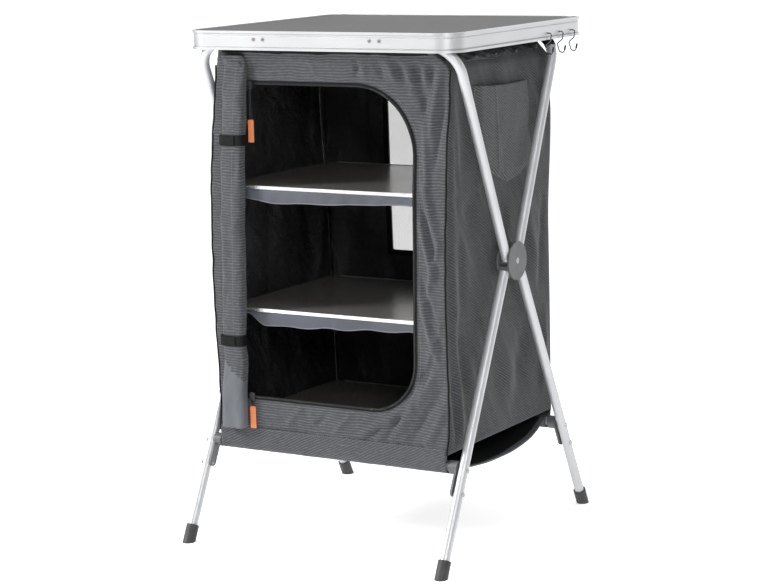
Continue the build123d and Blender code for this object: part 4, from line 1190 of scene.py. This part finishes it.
def rounded_ring(low, high, radius, arc_count, count):
    corners = [
        ((high[0] - radius, low[1] + radius), -90), ((high[0] - radius, high[1] - radius), 0),
        ((low[0] + radius, high[1] - radius), 90), ((low[0] + radius, low[1] + radius), 180),
    ]
    outline = np.vstack([arc(centre, radius, start, start + 90, arc_count) for centre, start in corners])
    return evenly(np.vstack([outline, outline[:1]]), count)


def make_shelf_edge(level):
    low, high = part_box(f"shelf_board_{level}")
    outline = rounded_ring(low, high, BOARD_RADIUS, 16, 220)
    path = np.column_stack([outline, np.full(220, high[2] - 0.0013)])
    tubes(f"shelf_edge_{level}", [path], 0.0011, SHELF_BAND, f"shelf_{level}", "rim_aluminium", sides=8,
          closed=True)


def make_rim_lines():
    outline = rounded_ring(RIM_LOW, RIM_HIGH, RIM_RADIUS, 20, 260)
    paths = [np.column_stack([outline, np.full(260, level)]) for level in RIM_LINE_LEVELS]
    tubes("rim_lines", paths, 0.00055, RIM_METAL, "tabletop", "rim_aluminium", sides=8, closed=True)


place_camera()
make_front()
make_side("right_cloth", 1, 21, "panel_right")
make_side("left_cloth", -1, 25, "panel_left")
make_back()
make_window_binding()
make_hem("front_hem", -1, "frame_b", "hem_sleeve_front")
make_hem("rear_hem", 1, "frame_a", "hem_sleeve_rear")
make_top_sleeve("front_top_sleeve", -1, "frame_a", "top_sleeve_front", 45)
make_top_sleeve("rear_top_sleeve", 1, "cabinet", "top_sleeve_rear", 46)
make_roll()
make_strap("upper_door_strap", STRAP_HEIGHTS[0], "door_strap_upper")
make_strap("lower_door_strap", STRAP_HEIGHTS[1], "door_strap_lower")
make_zip()
make_piping()
make_top_binding_and_rim_shadow()
make_pocket()
make_top_band("right_top_band", 1, 75)
make_top_band("left_top_band", -1, 78)
make_sling(0.6967, "upper", 81, 0.7, 0.075, 0.62)
make_sling(0.4547, "middle", 86, 0.0, 0.045, 0.60)
make_floor_cloth()
make_bottom_sling()
make_corner_seams()
make_pull("upper", -0.193757, 0.8884, 0.8314)
make_pull("lower", -0.22046, 0.2784, 0.2694)
make_rim_lines()
for shelf in LEVELS:
    make_shelf_edge(shelf)
make_bend_sleeves()
finish_nodes()


# Studio

LIGHTS = [
    ("key", (-3.4, -2.7, 2.5), 1.1, 200.0),
    ("fill", (2.9, -3.6, 2.2), 1.2, 62.0),
    ("top", (0.2, -0.4, 3.4), 2.4, 40.0),
]


def make_studio():
    world = bpy.data.worlds.new("studio")
    world.use_nodes = True
    tree = world.node_tree
    sky = split(Value(add_node(tree, "ShaderNodeTexCoord").outputs["Generated"]))
    glow = calc("MAXIMUM", ramp(sky[2], -0.1, 0.9, 0.16, 0.42), ramp(sky[1], 0.35, 0.9, 0.0, 1.4))
    seen = Value(add_node(tree, "ShaderNodeLightPath").outputs["Is Camera Ray"])
    join(tree.nodes["Background"].inputs["Color"], calc("MAXIMUM", glow, seen))
    bpy.context.scene.world = world
    bpy.context.scene.view_settings.view_transform = "Standard"
    for name, place, size, power in LIGHTS:
        data = bpy.data.lights.new(name, "AREA")
        data.shape = "SQUARE"
        data.size = size
        data.energy = power
        light = bpy.data.objects.new(name, data)
        bpy.context.scene.collection.objects.link(light)
        light.location = place
        light.rotation_euler = (Vector((0, 0, 0.55)) - Vector(place)).to_track_quat("-Z", "Y").to_euler()
    mesh = bpy.data.meshes.new("floor")
    reach = 8.0
    corners = [(-reach, -reach, 0), (reach, -reach, 0), (reach, reach, 0), (-reach, reach, 0)]
    mesh.from_pydata(corners, [], [(0, 1, 2, 3)])
    floor = bpy.data.objects.new("floor", mesh)
    bpy.context.scene.collection.objects.link(floor)
    material, vector = new_material("pale_floor")
    tone = blend_colors(noise(vector, 3.0), (0.93, 0.93, 0.93, 1), (0.95, 0.95, 0.95, 1))
    mesh.materials.append(dress(material, tone, 0.9, Emission_Color=(1, 1, 1, 1), Emission_Strength=0.58))


make_studio()
